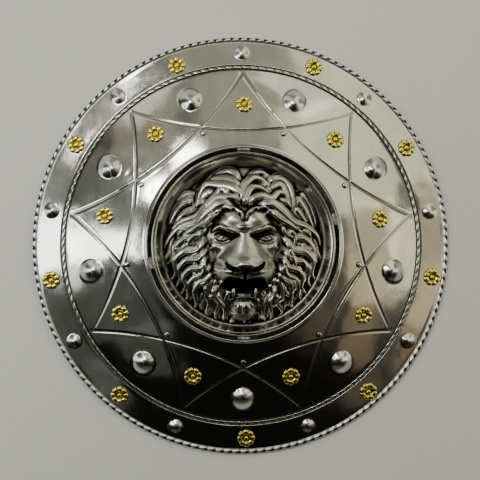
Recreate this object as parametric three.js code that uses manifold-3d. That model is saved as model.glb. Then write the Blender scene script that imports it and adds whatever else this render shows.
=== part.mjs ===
// Round lion-head shield, lying on its rim with its face up.
// Millimetres, +Z up and +Y towards the top of the lion's head. The origin is in the
// middle of the ring that the rim rests on.
import * as THREE from "three";
import { mergeVertices } from "three/addons/utils/BufferGeometryUtils.js";
import Module from "manifold-3d";

// --- Driving dimensions -------------------------------------------------------------

const GAP = 0.3; // clearance between pieces that touch
const SHEET = 1.5; // thickness of the pressed steel plate
const COLUMNS = 44; // flats round the plate
const SECTORS = 9; // the pattern repeats nine times round the face
const SECTOR_TURN = (2 * Math.PI) / SECTORS;

const RIM_RADIUS = 280; // outermost edge of the rolled rim
const RIM_ROLL = 3.2; // radius of the roll's section
const FOOT_INNER = 275.4; // the flat ring that the shield rests on
const FOOT_OUTER = 278.2;
const ROPE_RADIUS = 238.5; // raised rope between the rim band and the crowned field
const ROPE_Z = 12;
const ROPE_RISE = 1.9;
const ROPE_HALF_WIDTH = 2.5;
const FLANGE_SLOPE = Math.tan((13 * Math.PI) / 180);
const CROWN_RADIUS = 577; // sphere that the field is crowned to
const LIP_RADIUS = 126.9; // hole in the middle, with a raised lip round it
const LIP_RISE = 2.6;
const LIP_WIDTH = 4.2;
const FIELD_STEPS = [165, 202]; // where the crowned field changes flat

const STAR_TIP = 230.4; // radius of the star's nine points
const STAR_WAIST = 150.9; // least distance of each groove from the middle
const STAR_STEPS = 8;
const GROOVE_WIDTH = 2.8;
const GROOVE_DEPTH = 0.8;

const FIELD_DOME = { radius: 205, base: 15.2, height: 8, sides: 10, rings: 2 };
const BAND_DOME = { radius: 258.4, base: 8.8, height: 4.6, sides: 8, rings: 2 };
const BAND_FLOWER_RADIUS = 258.8;
const FIELD_FLOWER_RADIUS = 186.7;
const RIVET_RADIUS = 156.3;

const PETALS = 8;
const FLOWER_RADIUS = 12.2;
const FLOWER_NOTCH = 10.6;
const FLOWER_RISE = 3.4;
const RIVET_HEAD = 4;
const RIVET_RISE = 2.9;
const SHANK_RADIUS = 1.6;
const SHANK_HOLE = 2;
const TAIL_RADIUS = 3;
const TAIL_RISE = 1.3;
const TAIL_BED = 0.7; // room under the sheet, whose flats lie a little below its true curve

const STRAP_WIDTH = 30; // two leather straps behind the plate, for arm and hand
const STRAP_THICKNESS = 3;
const STRAP_TAIL = 13; // leather past each rivet
const STRAP_BED = 1.2; // room between the plate and the flat ends of a strap
const STRAP_LOW_Z = 6; // middle of the loop, clear of what the shield lies on
const STRAP_STEPS = 12;

const BOSS_RADIUS = 123.2; // round lion medallion set in the hole
const BOSS_FLOOR = 40.5;
const BOSS_RIM_Z = 52;
const BOSS_WALL = 2.2;
const BOSS_SIDES = 48;
const HOLLOW_REACH = 9; // how far round each point the hollow looks for the lowest relief
const MANE_RADIUS = 108;
const MANE_RISE = 21;
const MANE_LOCKS = 8; // each side
const LOCK_DEPTH = 8;
const LOCK_SWEEP = 0.12;
const LOCK_WAVE = 12;
const WELD_TURNS = { top: 0, right: 75, bottom: 180, left: -102 };
const WELD_WIDTH = 17;

const FINISHES = {
  steel: new THREE.MeshStandardMaterial({ color: 0xa9a8a0, roughness: 0.18, metalness: 1 }),
  lion: new THREE.MeshStandardMaterial({ color: 0x76746c, roughness: 0.3, metalness: 1 }),
  weld: new THREE.MeshStandardMaterial({ color: 0x8d8b85, roughness: 0.5, metalness: 1 }),
  gilt: new THREE.MeshStandardMaterial({ color: 0xd9b24a, roughness: 0.25, metalness: 1 }),
  leather: new THREE.MeshStandardMaterial({ color: 0x3a2418, roughness: 0.7, metalness: 0 }),
};

// --- The form of the face -----------------------------------------------------------

const crownHeight = (radius) => Math.sqrt(CROWN_RADIUS ** 2 - radius ** 2);

// Height of the smooth face: a cone on the rim band and a sphere on the field.
function faceHeight(radius) {
  if (radius > ROPE_RADIUS) {
    return ROPE_Z - (radius - ROPE_RADIUS) * FLANGE_SLOPE;
  }
  return ROPE_Z + crownHeight(radius) - crownHeight(ROPE_RADIUS);
}

function faceSlope(radius) {
  return radius > ROPE_RADIUS ? -FLANGE_SLOPE : -radius / crownHeight(radius);
}

// Point and outward normal of the face, at an angle turned clockwise from the top.
function facePlace(radius, turn) {
  const out = new THREE.Vector3(Math.sin(turn), Math.cos(turn), 0);
  const point = out.clone().multiplyScalar(radius).setZ(faceHeight(radius));
  const normal = out.multiplyScalar(-faceSlope(radius)).setZ(1).normalize();
  return { point, normal };
}

// Matrix that stands a body made round the +Z axis on the face.
function standOnFace(radius, turn) {
  const { point, normal } = facePlace(radius, turn);
  const lean = new THREE.Quaternion().setFromUnitVectors(new THREE.Vector3(0, 0, 1), normal);
  return new THREE.Matrix4().compose(point, lean, new THREE.Vector3(1, 1, 1));
}

// --- Making and joining bodies ------------------------------------------------------

function signedVolume(corners, faces) {
  let sum = 0;
  for (let i = 0; i < faces.length; i += 3) {
    const [a, b, c] = [corners[faces[i]], corners[faces[i + 1]], corners[faces[i + 2]]];
    sum += a.dot(b.clone().cross(c)) / 6;
  }
  return sum;
}

// Geometry of a closed body, with its faces turned outwards.
function closedBody(corners, faces) {
  const outward = signedVolume(corners, faces) > 0 ? faces : [...faces].reverse();
  const geometry = new THREE.BufferGeometry().setFromPoints(corners);
  geometry.setIndex(outward);
  geometry.computeVertexNormals();
  return geometry;
}

// Body through a row of rings with equally many corners, with a tip at each end.
function loft(rings, startTip, endTip) {
  const count = rings[0].length;
  const corners = [...rings.flat(), startTip, endTip];
  const start = corners.length - 2;
  const lastRow = (rings.length - 1) * count;
  const faces = [];
  for (let i = 0; i < count; i += 1) {
    const next = (i + 1) % count;
    for (let row = 0; row < lastRow; row += count) {
      faces.push(row + i, row + next, row + count + next);
      faces.push(row + i, row + count + next, row + count + i);
    }
    faces.push(next, i, start);
    faces.push(lastRow + i, lastRow + next, start + 1);
  }
  return closedBody(corners, faces);
}

const middle = (ring) => ring
  .reduce((sum, corner) => sum.add(corner), new THREE.Vector3())
  .divideScalar(ring.length);

const loftFlatEnded = (rings) => loft(rings, middle(rings[0]), middle(rings.at(-1)));

// Round body about the Z axis, from a profile of [radius, height] pairs.
function turned(profile, sides) {
  const points = profile.map(([radius, height]) => new THREE.Vector2(radius, height));
  const geometry = new THREE.LatheGeometry(points, sides);
  geometry.rotateX(Math.PI / 2);
  geometry.deleteAttribute("normal");
  geometry.deleteAttribute("uv");
  const merged = mergeVertices(geometry, 1e-4);
  const index = merged.index.array;
  const place = merged.attributes.position;
  const corners = Array.from({ length: place.count }, (_, i) => (
    new THREE.Vector3().fromBufferAttribute(place, i)
  ));
  const faces = [];
  for (let i = 0; i < index.length; i += 3) {
    const [a, b, c] = index.slice(i, i + 3);
    if (a !== b && b !== c && c !== a) faces.push(a, b, c);
  }
  return closedBody(corners, faces);
}

const wasm = await Module();
wasm.setup();

function toSolid(geometry, matrix = new THREE.Matrix4()) {
  const placed = geometry.clone().applyMatrix4(matrix);
  return new wasm.Manifold(new wasm.Mesh({
    numProp: 3,
    vertProperties: new Float32Array(placed.attributes.position.array),
    triVerts: new Uint32Array(placed.index.array),
  }));
}

function toGeometry(solid) {
  const { vertProperties, triVerts } = solid.getMesh();
  const geometry = new THREE.BufferGeometry();
  geometry.setAttribute("position", new THREE.BufferAttribute(vertProperties, 3));
  geometry.setIndex(new THREE.BufferAttribute(triVerts, 1));
  geometry.computeVertexNormals();
  return geometry;
}

const joined = (solids) => solids.reduce((whole, solid) => whole.add(solid));

const shield = new THREE.Group();

function addPiece(name, geometry, finish, matrix) {
  const piece = new THREE.Mesh(geometry, finish);
  piece.name = name;
  if (matrix) matrix.decompose(piece.position, piece.quaternion, piece.scale);
  shield.add(piece);
}

const sectorTurns = (offset) => (
  Array.from({ length: SECTORS }, (_, k) => (k + offset) * SECTOR_TURN)
);

// --- Plate --------------------------------------------------------------------------

// Section of the plate: lip, crowned field, rope, rim band, rolled rim and underside.
function plateProfile() {
  const rollRadius = RIM_RADIUS - RIM_ROLL;
  const onFace = (radius, lift = 0) => [radius, faceHeight(radius) + lift];
  const below = (radius) => onFace(radius, -SHEET * Math.hypot(1, faceSlope(radius)));
  const roll = (angle) => [
    rollRadius + RIM_ROLL * Math.cos((angle * Math.PI) / 180),
    RIM_ROLL + RIM_ROLL * Math.sin((angle * Math.PI) / 180),
  ];
  return [
    below(LIP_RADIUS),
    onFace(LIP_RADIUS, 0.6 * LIP_RISE),
    onFace(LIP_RADIUS + 1.3, LIP_RISE),
    onFace(LIP_RADIUS + LIP_WIDTH),
    ...FIELD_STEPS.map((radius) => onFace(radius)),
    onFace(ROPE_RADIUS - ROPE_HALF_WIDTH),
    onFace(ROPE_RADIUS, ROPE_RISE),
    onFace(ROPE_RADIUS + ROPE_HALF_WIDTH),
    roll(165), roll(90), roll(0),
    [FOOT_OUTER, 0],
    [FOOT_INNER, 0],
    below(ROPE_RADIUS),
    ...FIELD_STEPS.map(below).reverse(),
    below(LIP_RADIUS + LIP_WIDTH),
    below(LIP_RADIUS),
  ];
}

// Shallow cap of a sphere over a flat foot that is sunk into the sheet, or, with an
// inset, the hollow under it.
function domeBody({ base, height, sides, rings }, inset) {
  const radius = (base ** 2 + height ** 2) / (2 * height) - inset;
  const centre = height - inset - radius;
  const foot = inset ? -2 * SHEET : -SHEET / 2;
  const rimAngle = Math.acos(Math.min(1, (inset ? -centre - SHEET / 2 : -centre) / radius));
  const arc = Array.from({ length: rings + 1 }, (_, i) => {
    const angle = (rimAngle * i) / rings;
    return [radius * Math.sin(angle), centre + radius * Math.cos(angle)];
  });
  arc[0][0] = 0;
  return turned([...arc, [arc.at(-1)[0], foot], [0, foot]], sides);
}

// Each groove is an arc in plan, from one point of the star to the next but one, bowed
// towards the middle. Its section is a V, carried along the face.
function starGroove(turn) {
  const halfSpan = SECTOR_TURN;
  const chord = STAR_TIP * Math.sin(halfSpan);
  const bow = STAR_TIP * Math.cos(halfSpan) - STAR_WAIST;
  const arcRadius = (chord ** 2 + bow ** 2) / (2 * bow);
  const arcSpan = Math.asin(chord / arcRadius);
  const rings = Array.from({ length: STAR_STEPS + 1 }, (_, i) => {
    const angle = arcSpan * ((2 * i) / STAR_STEPS - 1);
    const across = arcRadius * Math.sin(angle);
    const out = STAR_WAIST + arcRadius * (1 - Math.cos(angle));
    const [sin, cos] = [Math.sin(turn), Math.cos(turn)];
    const x = out * sin + across * cos;
    const y = out * cos - across * sin;
    const radius = Math.hypot(x, y);
    const z = faceHeight(radius);
    const side = new THREE.Vector3(
      Math.cos(angle) * sin - Math.sin(angle) * cos,
      Math.cos(angle) * cos + Math.sin(angle) * sin,
      0,
    );
    const slope = faceSlope(radius) * ((side.x * x + side.y * y) / radius);
    const wing = side.multiplyScalar(0.75 * GROOVE_WIDTH);
    const bottom = new THREE.Vector3(x, y, z - GROOVE_DEPTH);
    const lift = GROOVE_DEPTH * 1.5;
    const rise = slope * 0.75 * GROOVE_WIDTH;
    return [
      bottom,
      bottom.clone().add(wing).setZ(bottom.z + lift + rise),
      bottom.clone().sub(wing).setZ(bottom.z + lift - rise),
    ];
  });
  return loftFlatEnded(rings);
}

function shankHole(radius, turn) {
  const cutter = turned([[0, -8], [SHANK_HOLE, -8], [SHANK_HOLE, 8], [0, 8]], 6);
  return toSolid(cutter, standOnFace(radius, turn));
}

const rivetTurns = sectorTurns(0.5);

function plateBody() {
  const domes = [
    ...sectorTurns(0.5).map((turn) => [FIELD_DOME, turn]),
    ...sectorTurns(0).map((turn) => [BAND_DOME, turn]),
  ];
  const domeSolids = (inset) => domes.map(([dome, turn]) => (
    toSolid(domeBody(dome, inset), standOnFace(dome.radius, turn))
  ));
  const holes = rivetTurns.map((turn) => shankHole(RIVET_RADIUS, turn));
  const grooves = sectorTurns(0).map((turn) => toSolid(starGroove(turn)));
  return toSolid(turned(plateProfile(), COLUMNS))
    .add(joined(domeSolids(0)))
    .subtract(joined(domeSolids(SHEET)))
    .subtract(joined(grooves))
    .subtract(joined(holes));
}

addPiece("shield_plate", toGeometry(plateBody()), FINISHES.steel);

// --- Flower studs and rivets --------------------------------------------------------

// The rim is notched between the petals, and each petal rises towards the middle.
function flowerStud() {
  const ring = (petal, notch, petalZ, notchZ) => Array.from({ length: 2 * PETALS }, (_, i) => {
    const turn = (i * Math.PI) / PETALS;
    const [radius, z] = i % 2 ? [notch, notchZ] : [petal, petalZ];
    return new THREE.Vector3(radius * Math.sin(turn), radius * Math.cos(turn), z);
  });
  const foot = ring(FLOWER_RADIUS, FLOWER_NOTCH, GAP, GAP);
  const crest = ring(8.6, 7.4, 0.75 * FLOWER_RISE, 0.45 * FLOWER_RISE);
  const [base, tip] = [GAP, FLOWER_RISE].map((z) => new THREE.Vector3(0, 0, z));
  return loft([foot, crest], base, tip);
}

// Round head over the sheet, a shank through it, and the end hammered over below.
function rivet(grip) {
  return turned([
    [0, -grip - TAIL_RISE],
    [TAIL_RADIUS, -grip],
    [SHANK_RADIUS, -grip],
    [SHANK_RADIUS, GAP],
    [RIVET_HEAD, GAP],
    [0.75 * RIVET_HEAD, 0.7 * RIVET_RISE],
    [0, RIVET_RISE],
  ], 6);
}

// The studs were set by hand. For each one in turn, drift is how many degrees it stands
// clockwise of its even place, and outset how many millimetres further out.
const FLOWER_ROWS = {
  rim_flower: {
    radius: BAND_FLOWER_RADIUS,
    offset: 0.5,
    drift: [2.1, -0.5, -0.5, -0.9, -1.3, -0.9, -0.6, 1.1, 0],
    outset: [0, 0, 2, 2, 0, 0, 0, 0, -2.6],
  },
  field_flower: {
    radius: FIELD_FLOWER_RADIUS,
    offset: 0,
    drift: [0.5, 1.4, -0.5, 0.3, 0, 0.8, 0.3, 1.6, 1.6],
    outset: [0, 0, 0, 0, 0, 0, 0, 0, 0],
  },
};

Object.entries(FLOWER_ROWS).forEach(([row, { radius, offset, drift, outset }]) => {
  sectorTurns(offset).forEach((evenTurn, i) => {
    const turn = evenTurn + THREE.MathUtils.degToRad(drift[i]);
    const place = standOnFace(radius + outset[i], turn);
    addPiece(`${row}_${i + 1}`, flowerStud(), FINISHES.gilt, place);
  });
});

// The rivets on either side of three and nine o'clock also hold the ends of the straps.
const STRAPS = {
  hand_strap: [1, 2],
  arm_strap: [7, 6],
};
const strapRivets = Object.values(STRAPS).flat();

rivetTurns.forEach((turn, i) => {
  const strapRoom = strapRivets.includes(i) ? STRAP_BED + STRAP_THICKNESS + 2 * GAP : 0;
  const grip = SHEET + TAIL_BED + strapRoom;
  addPiece(`rivet_${i + 1}`, rivet(grip), FINISHES.steel, standOnFace(RIVET_RADIUS, turn));
});

// --- Leather straps -----------------------------------------------------------------

// A strap runs from rivet to rivet. Its ends lie flat under the plate, and its middle
// hangs down in a loop.
function strapBody([first, last]) {
  const start = facePlace(RIVET_RADIUS, rivetTurns[first]).point.setZ(0);
  const end = facePlace(RIVET_RADIUS, rivetTurns[last]).point.setZ(0);
  const along = end.clone().sub(start);
  const span = along.length();
  along.normalize();
  const across = start.clone().add(end).setZ(0).normalize();
  const loopEase = (run) => {
    const nearest = Math.min(run, span - run);
    return THREE.MathUtils.smoothstep(nearest, 7, 30);
  };
  const centre = (run) => {
    const point = start.clone().addScaledVector(along, run);
    const tabZ = faceHeight(point.length()) - SHEET - STRAP_BED - 0.55 * STRAP_THICKNESS;
    return point.setZ(THREE.MathUtils.lerp(tabZ, STRAP_LOW_Z, loopEase(run)));
  };
  const rings = Array.from({ length: STRAP_STEPS + 1 }, (_, i) => {
    const run = -STRAP_TAIL + ((span + 2 * STRAP_TAIL) * i) / STRAP_STEPS;
    const point = centre(run);
    const tangent = centre(run + 0.5).sub(centre(run - 0.5)).normalize();
    const plan = Math.hypot(point.x, point.y);
    const crossSlope = faceSlope(plan) * (1 - loopEase(run));
    const width = across.clone().setZ(crossSlope).projectOnPlane(tangent).normalize();
    const thick = tangent.clone().cross(width).multiplyScalar(STRAP_THICKNESS / 2);
    width.multiplyScalar(STRAP_WIDTH / 2);
    return [[1, 1], [-1, 1], [-1, -1], [1, -1]].map(([w, t]) => (
      point.clone().addScaledVector(width, w).addScaledVector(thick, t)
    ));
  });
  const holes = [first, last].map((i) => shankHole(RIVET_RADIUS, rivetTurns[i]));
  return toSolid(loftFlatEnded(rings)).subtract(joined(holes));
}

Object.entries(STRAPS).forEach(([name, ends]) => {
  addPiece(name, toGeometry(strapBody(ends)), FINISHES.leather);
});

// --- Lion medallion -----------------------------------------------------------------

// Rounded swelling or hollow of the face: an oval bell with its middle, half widths and
// rise, turned in the plane, and repeated on the other side where it is paired.
const FACE_FORMS = [
  { form: "skull", x: 0, y: 6, wide: 46, tall: 60, rise: 12 },
  { form: "forehead", x: 18, y: 38, wide: 24, tall: 20, rise: 6, paired: true },
  { form: "brow", x: 28, y: 23, wide: 19, tall: 7, rise: 8, turn: 0.2, paired: true },
  { form: "eye socket", x: 28, y: 12, wide: 17, tall: 6, rise: -13, turn: 0.2, paired: true },
  { form: "cheek", x: 37, y: -2, wide: 11, tall: 16, rise: 4, paired: true },
  { form: "nose bridge", x: 0, y: 0, wide: 18, tall: 30, rise: 13 },
  { form: "nose tip", x: 0, y: -24, wide: 16, tall: 12, rise: 9 },
  { form: "muzzle", x: 21, y: -33, wide: 23, tall: 19, rise: 17, paired: true },
  { form: "mouth", x: -1, y: -55, wide: 29, tall: 10, rise: -22 },
  { form: "chin", x: -1, y: -84, wide: 24, tall: 20, rise: 18 },
];
const FACE_WIDE = 47;
const FACE_TOP = 46;
const FACE_BOTTOM = -104;
const EDGE_EASE = 12;

function bell({ x, y, wide, tall, rise, turn = 0 }, px, py, side) {
  const [dx, dy] = [side * px - x, py - y];
  const u = (dx * Math.cos(turn) + dy * Math.sin(turn)) / wide;
  const v = (dy * Math.cos(turn) - dx * Math.sin(turn)) / tall;
  return rise * Math.exp(-1.4 * (u * u + v * v));
}

// Mane: a cushion round the face, parted into locks that sweep outwards in an S, alike
// on the left and the right.
function maneHeight(radius, turn) {
  const inside = MANE_RADIUS - radius;
  const fade = THREE.MathUtils.smoothstep(inside, 0, 14);
  const cushion = MANE_RISE * (0.45 + 0.55 * THREE.MathUtils.smoothstep(inside, 0, 50));
  const sweep = LOCK_SWEEP * Math.sin(radius / LOCK_WAVE);
  const crest = Math.abs(Math.cos(MANE_LOCKS * (Math.abs(turn) + sweep)));
  return fade * (cushion - LOCK_DEPTH * (1 - crest));
}

// Height of the relief over the floor of the medallion.
function reliefHeight(x, y) {
  const tallMiddle = (FACE_TOP + FACE_BOTTOM) / 2;
  const tallHalf = (FACE_TOP - FACE_BOTTOM) / 2;
  const inFace = 1 - Math.hypot(x / FACE_WIDE, (y - tallMiddle) / tallHalf);
  const blend = THREE.MathUtils.smoothstep(inFace * FACE_WIDE, -EDGE_EASE / 2, EDGE_EASE / 2);
  const forms = FACE_FORMS.reduce((sum, form) => (
    sum + bell(form, x, y, 1) + (form.paired ? bell(form, x, y, -1) : 0)
  ), 22);
  const mane = maneHeight(Math.hypot(x, y), Math.atan2(x, y));
  return THREE.MathUtils.lerp(mane, forms, blend);
}

const onCircle = (radius, z) => Array.from({ length: BOSS_SIDES }, (_, i) => {
  const turn = (2 * Math.PI * i) / BOSS_SIDES;
  return new THREE.Vector3(radius * Math.sin(turn), radius * Math.cos(turn), z);
});

function reliefRing(radius) {
  return onCircle(radius, 0).map((corner) => (
    corner.setZ(BOSS_FLOOR + reliefHeight(corner.x, corner.y))
  ));
}

// The back follows the relief one wall lower, and passes under its hollows.
function hollowRing(radius, reach) {
  const lowestNear = ({ x, y }) => {
    let lowest = reliefHeight(x, y);
    for (let i = 0; i < 12; i += 1) {
      const turn = (Math.PI * i) / 6;
      for (const step of [reach / 2, reach]) {
        lowest = Math.min(lowest, reliefHeight(x + step * Math.sin(turn), y + step * Math.cos(turn)));
      }
    }
    return lowest;
  };
  return onCircle(radius, 0).map((corner) => (
    corner.setZ(BOSS_FLOOR - BOSS_WALL + Math.max(0, lowestNear(corner)))
  ));
}

// Rings of the front from the middle outwards, over the rim, and back along the hollow.
function bossBody() {
  const frontRadii = [5, 12, 19, 26, 33, 39, 46, 54, 62, 71, 81, 91, 100];
  const rimProfile = [
    [107, BOSS_FLOOR],
    [113, BOSS_FLOOR + 3.6],
    [116, BOSS_RIM_Z - 1.6],
    [120.2, BOSS_RIM_Z],
    [BOSS_RADIUS, BOSS_RIM_Z - 2.2],
    [BOSS_RADIUS, BOSS_RIM_Z - 5.4],
    [117.4, BOSS_RIM_Z - 5.4],
    [107, BOSS_FLOOR - BOSS_WALL],
  ];
  const backRadii = [96, 80, 64, 49, 34, 18];
  const front = frontRadii.map(reliefRing);
  const back = backRadii.map((radius) => hollowRing(radius, HOLLOW_REACH));
  const rim = rimProfile.map(([radius, z]) => onCircle(radius, z));
  const noseTip = new THREE.Vector3(0, 0, BOSS_FLOOR + reliefHeight(0, 0));
  return loft([...front, ...rim, ...back], noseTip, middle(back.at(-1)));
}

addPiece("lion_boss", bossBody(), FINISHES.lion);

// --- Welds between the medallion and the plate --------------------------------------

// Short lump of weld metal that fills the slot between the medallion's rim and the lip.
function weldBody(turn) {
  const flatRadius = LIP_RADIUS * Math.cos(Math.PI / COLUMNS);
  const slot = [BOSS_RADIUS + GAP, flatRadius - GAP];
  const half = WELD_WIDTH / 2 / LIP_RADIUS;
  const steps = 3;
  const rings = Array.from({ length: steps + 1 }, (_, i) => {
    const angle = turn + half * ((2 * i) / steps - 1);
    const crest = BOSS_RIM_Z - 1.2 + 0.5 * Math.cos(Math.PI * (i - steps / 2) / steps);
    const corner = (radius, z) => (
      new THREE.Vector3(radius * Math.sin(angle), radius * Math.cos(angle), z)
    );
    return [
      corner(slot[0], crest - 3.6),
      corner(slot[1], crest - 3.6),
      corner(slot[1], crest),
      corner(slot[0], crest),
    ];
  });
  return loftFlatEnded(rings);
}

Object.entries(WELD_TURNS).forEach(([side, angle]) => {
  addPiece(`boss_weld_${side}`, weldBody((angle * Math.PI) / 180), FINISHES.weld);
});

export default shield;
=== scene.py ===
"""Round steel shield with gilt studs and a lion's head medallion, lying on its rim.

The CAD model gives the places and sizes. Every surface is worked out here as a function
of two parameters on a grid, in millimetres, and put into its mesh in metres. Angles are
turned clockwise from the top of the lion's head, as seen from the face.
"""

import bpy
import numpy as np
from mathutils import Matrix, Vector


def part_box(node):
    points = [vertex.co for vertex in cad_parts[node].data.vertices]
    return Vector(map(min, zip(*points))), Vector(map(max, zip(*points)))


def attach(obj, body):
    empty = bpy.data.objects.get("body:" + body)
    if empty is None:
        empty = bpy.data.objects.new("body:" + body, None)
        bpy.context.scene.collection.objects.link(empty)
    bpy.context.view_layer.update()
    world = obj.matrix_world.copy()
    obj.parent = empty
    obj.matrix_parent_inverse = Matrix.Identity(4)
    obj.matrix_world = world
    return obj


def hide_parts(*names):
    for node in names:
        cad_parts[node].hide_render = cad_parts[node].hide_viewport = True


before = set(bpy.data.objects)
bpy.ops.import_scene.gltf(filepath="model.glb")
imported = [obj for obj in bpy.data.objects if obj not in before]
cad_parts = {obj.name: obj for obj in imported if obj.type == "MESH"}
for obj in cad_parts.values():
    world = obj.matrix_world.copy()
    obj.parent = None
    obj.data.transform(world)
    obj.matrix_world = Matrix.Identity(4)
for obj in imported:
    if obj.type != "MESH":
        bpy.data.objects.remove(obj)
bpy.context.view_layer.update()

MM = 0.001
SHARP_EDGE = 50  # degrees between faces that stay parted in the shading
TURN = 2 * np.pi

# --- Sizes, in millimetres --------------------------------------------------------------

RIM_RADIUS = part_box("shield_plate")[1].x / MM
RIM_ROLL = 3.2
SHEET = 1.5
ROPE_RADIUS = 238.5
ROPE_Z = 12.0
ROPE_RISE = 1.9
ROPE_HALF_WIDTH = 2.5
ROPE_TWISTS = 135
RIM_NICKS = 155
FLANGE_SLOPE = np.tan(np.radians(13))
CROWN_RADIUS = 577.0
SEAM_RADIUS = 235.7  # foot of the rope, where the field's mesh meets the rim's

LIP_RADIUS = 126.9
LIP_RISE = 2.6
LIP_ROLL = 1.7

SECTORS = 9
STAR_TIP = 230.4
STAR_WAIST = 150.9
GROOVE_HALF_WIDTH = 1.35
GROOVE_DEPTH = 0.8
SHOULDER_RISE = 0.08

# Domes: radius of their ring, foot, height, share of a sector that they stand away from the
# top, roundness of the foot, height of the small point left by the punch, and radius of
# the block of cells that is bent round them.
FIELD_DOMES = {"radius": 205.0, "foot": 15.8, "height": 8.0, "offset": 0.5, "power": 1.35,
               "point": 0.0, "block": 16.8}
BAND_DOMES = {"radius": 258.4, "foot": 10.2, "height": 3.9, "offset": 0.0, "power": 1.5,
              "point": 0.2, "block": 11.3}
DISC_FADE = 1.05, 1.62  # the grid's bend round a dome starts and ends to fade, in blocks
PUNCH_HALF_WIDTH = 1.4
WAVE_RISE = 0.05
DENT_RADIUS = 172.0
DENT_TURN = np.radians(-56)
RIVET_RADIUS = 156.3

PETALS = 8
FLOWER_RADIUS = 12.2
FLOWER_RISE = 3.4
FLOWER_FOOT = 0.3
SEAT_GAP = 0.05
RIVET_HEAD = 4.0
RIVET_RISE = 2.9
RIVET_SHANK = 1.6
RIVET_TAIL = [(2.9, 0.0), (2.6, -0.8), (1.4, -1.2), (0, -1.3)]
RIVET_TAIL_ROOM = 1.6

BOSS_RADIUS = 123.2
BOSS_FLOOR = 40.5
BOSS_RIM_Z = 52.0
BOSS_WALL = 2.2
RELIEF_RADIUS = 107.0


# --- Curves shared by the pieces --------------------------------------------------------


def ease(value, low, high):
    """0 below low and 1 above high, with a smooth cubic between them."""
    share = np.clip((value - low) / (high - low), 0, 1)
    return share * share * (3 - 2 * share)


def mix(a, b, share):
    return a + (b - a) * share


def soft_max(a, b, blend):
    """The larger of two surfaces, with a fillet about blend wide where they cross."""
    return 0.5 * (a + b + np.sqrt((a - b) ** 2 + blend * blend))


def ridge(value, place, half):
    """1 at a place: exp of minus the square of the distance in half widths."""
    return np.exp(-(((value - place) / half) ** 2))


def hump(share, power=0.5):
    """1 in the middle and 0 from a share of 1 outwards: 1 less its square, to a power."""
    return np.clip(1 - share * share, 0, 1) ** power


def mound_form(share, rise, power, fall):
    """Mound with a flat top: the root of 1 less a power of the share of the way out, and a
    straight slope that falls away outside its foot."""
    return rise * np.sqrt(np.clip(1 - share**power, 0, 1)) - fall * np.clip(share - 1, 0, None)


def bell(x, y, middle, half, turn=0.0, power=2.0):
    """Oval bell of height 1: exp of minus the power of the distance in half widths."""
    dx, dy = x - middle[0], y - middle[1]
    u = (dx * np.cos(turn) + dy * np.sin(turn)) / half[0]
    v = (dy * np.cos(turn) - dx * np.sin(turn)) / half[1]
    return np.exp(-((u * u + v * v) ** (power / 2)))


def through(value, stops):
    """Smooth curve through (place, height) stops: each stretch is a cubic, and its slope
    at each stop is the mean of the slopes on both sides."""
    places, heights = (np.array(column, float) for column in zip(*sorted(stops)))
    slopes = np.gradient(heights, places)
    value = np.clip(value, places[0], places[-1])
    i = np.clip(np.searchsorted(places, value) - 1, 0, len(places) - 2)
    span = places[i + 1] - places[i]
    t = (value - places[i]) / span
    rise = (3 - 2 * t) * t * t
    lead = t * (1 - t) * (1 - t) * slopes[i] - t * t * (1 - t) * slopes[i + 1]
    return mix(heights[i], heights[i + 1], rise) + span * lead


def crown_height(radius):
    return np.sqrt(CROWN_RADIUS**2 - np.minimum(radius, CROWN_RADIUS) ** 2)


def face_height(radius):
    """Height of the smooth face: a sphere on the field, and a cone on the rim band."""
    field = ROPE_Z + crown_height(radius) - crown_height(ROPE_RADIUS)
    band = ROPE_Z - (radius - ROPE_RADIUS) * FLANGE_SLOPE
    return np.where(radius > ROPE_RADIUS, band, field)


def face_slope(radius):
    return np.where(radius > ROPE_RADIUS, -FLANGE_SLOPE, -radius / crown_height(radius))


def sector_turns(offset):
    return (np.arange(SECTORS) + offset) * TURN / SECTORS


def turns(columns):
    return np.arange(columns) * TURN / columns


def polar(radius, turn, z):
    """Points of a grid, from their radius, turn and height."""
    return np.stack(np.broadcast_arrays(radius * np.sin(turn), radius * np.cos(turn), z), -1)


def on_face(points, radius, turn):
    """Moves points of a body made round the Z axis to its seat on the face, and leans it
    so that its axis is the face's normal there."""
    away = np.array([np.sin(turn), np.cos(turn), 0.0])
    normal = np.array([0, 0, 1.0]) - away * float(face_slope(radius))
    normal /= np.linalg.norm(normal)
    down = away - normal * (away @ normal)
    down /= np.linalg.norm(down)
    across = np.cross(down, normal)
    seat = away * radius + np.array([0, 0, float(face_height(radius))])
    return seat + points[:, :1] * across + points[:, 1:2] * down + points[:, 2:] * normal


# --- Putting a grid into a mesh ---------------------------------------------------------


def grid_faces(rows, columns, close_rows, close_columns, flip=None):
    """Two triangles for each cell of a grid of corners numbered row by row. Where flip is
    true, the cell is parted along its other diagonal."""
    row = np.arange(rows if close_rows else rows - 1)[:, None]
    column = np.arange(columns if close_columns else columns - 1)[None, :]
    next_row, next_column = (row + 1) % rows, (column + 1) % columns
    a = row * columns + column
    b = row * columns + next_column
    c = next_row * columns + next_column
    d = next_row * columns + column
    plain = np.stack([a, b, c, a, c, d], -1)
    other = np.stack([a, b, d, b, c, d], -1)
    if flip is not None:
        plain = np.where(flip[..., None], other, plain)
    return plain.reshape(-1, 3)


def outward(points, faces):
    """The triangles of a closed body, reversed if they point inwards."""
    a, b, c = (points[faces[:, k]] for k in range(3))
    volume = np.einsum("ij,ij->i", a, np.cross(b, c)).sum()
    return faces if volume > 0 else faces[:, ::-1]


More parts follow.
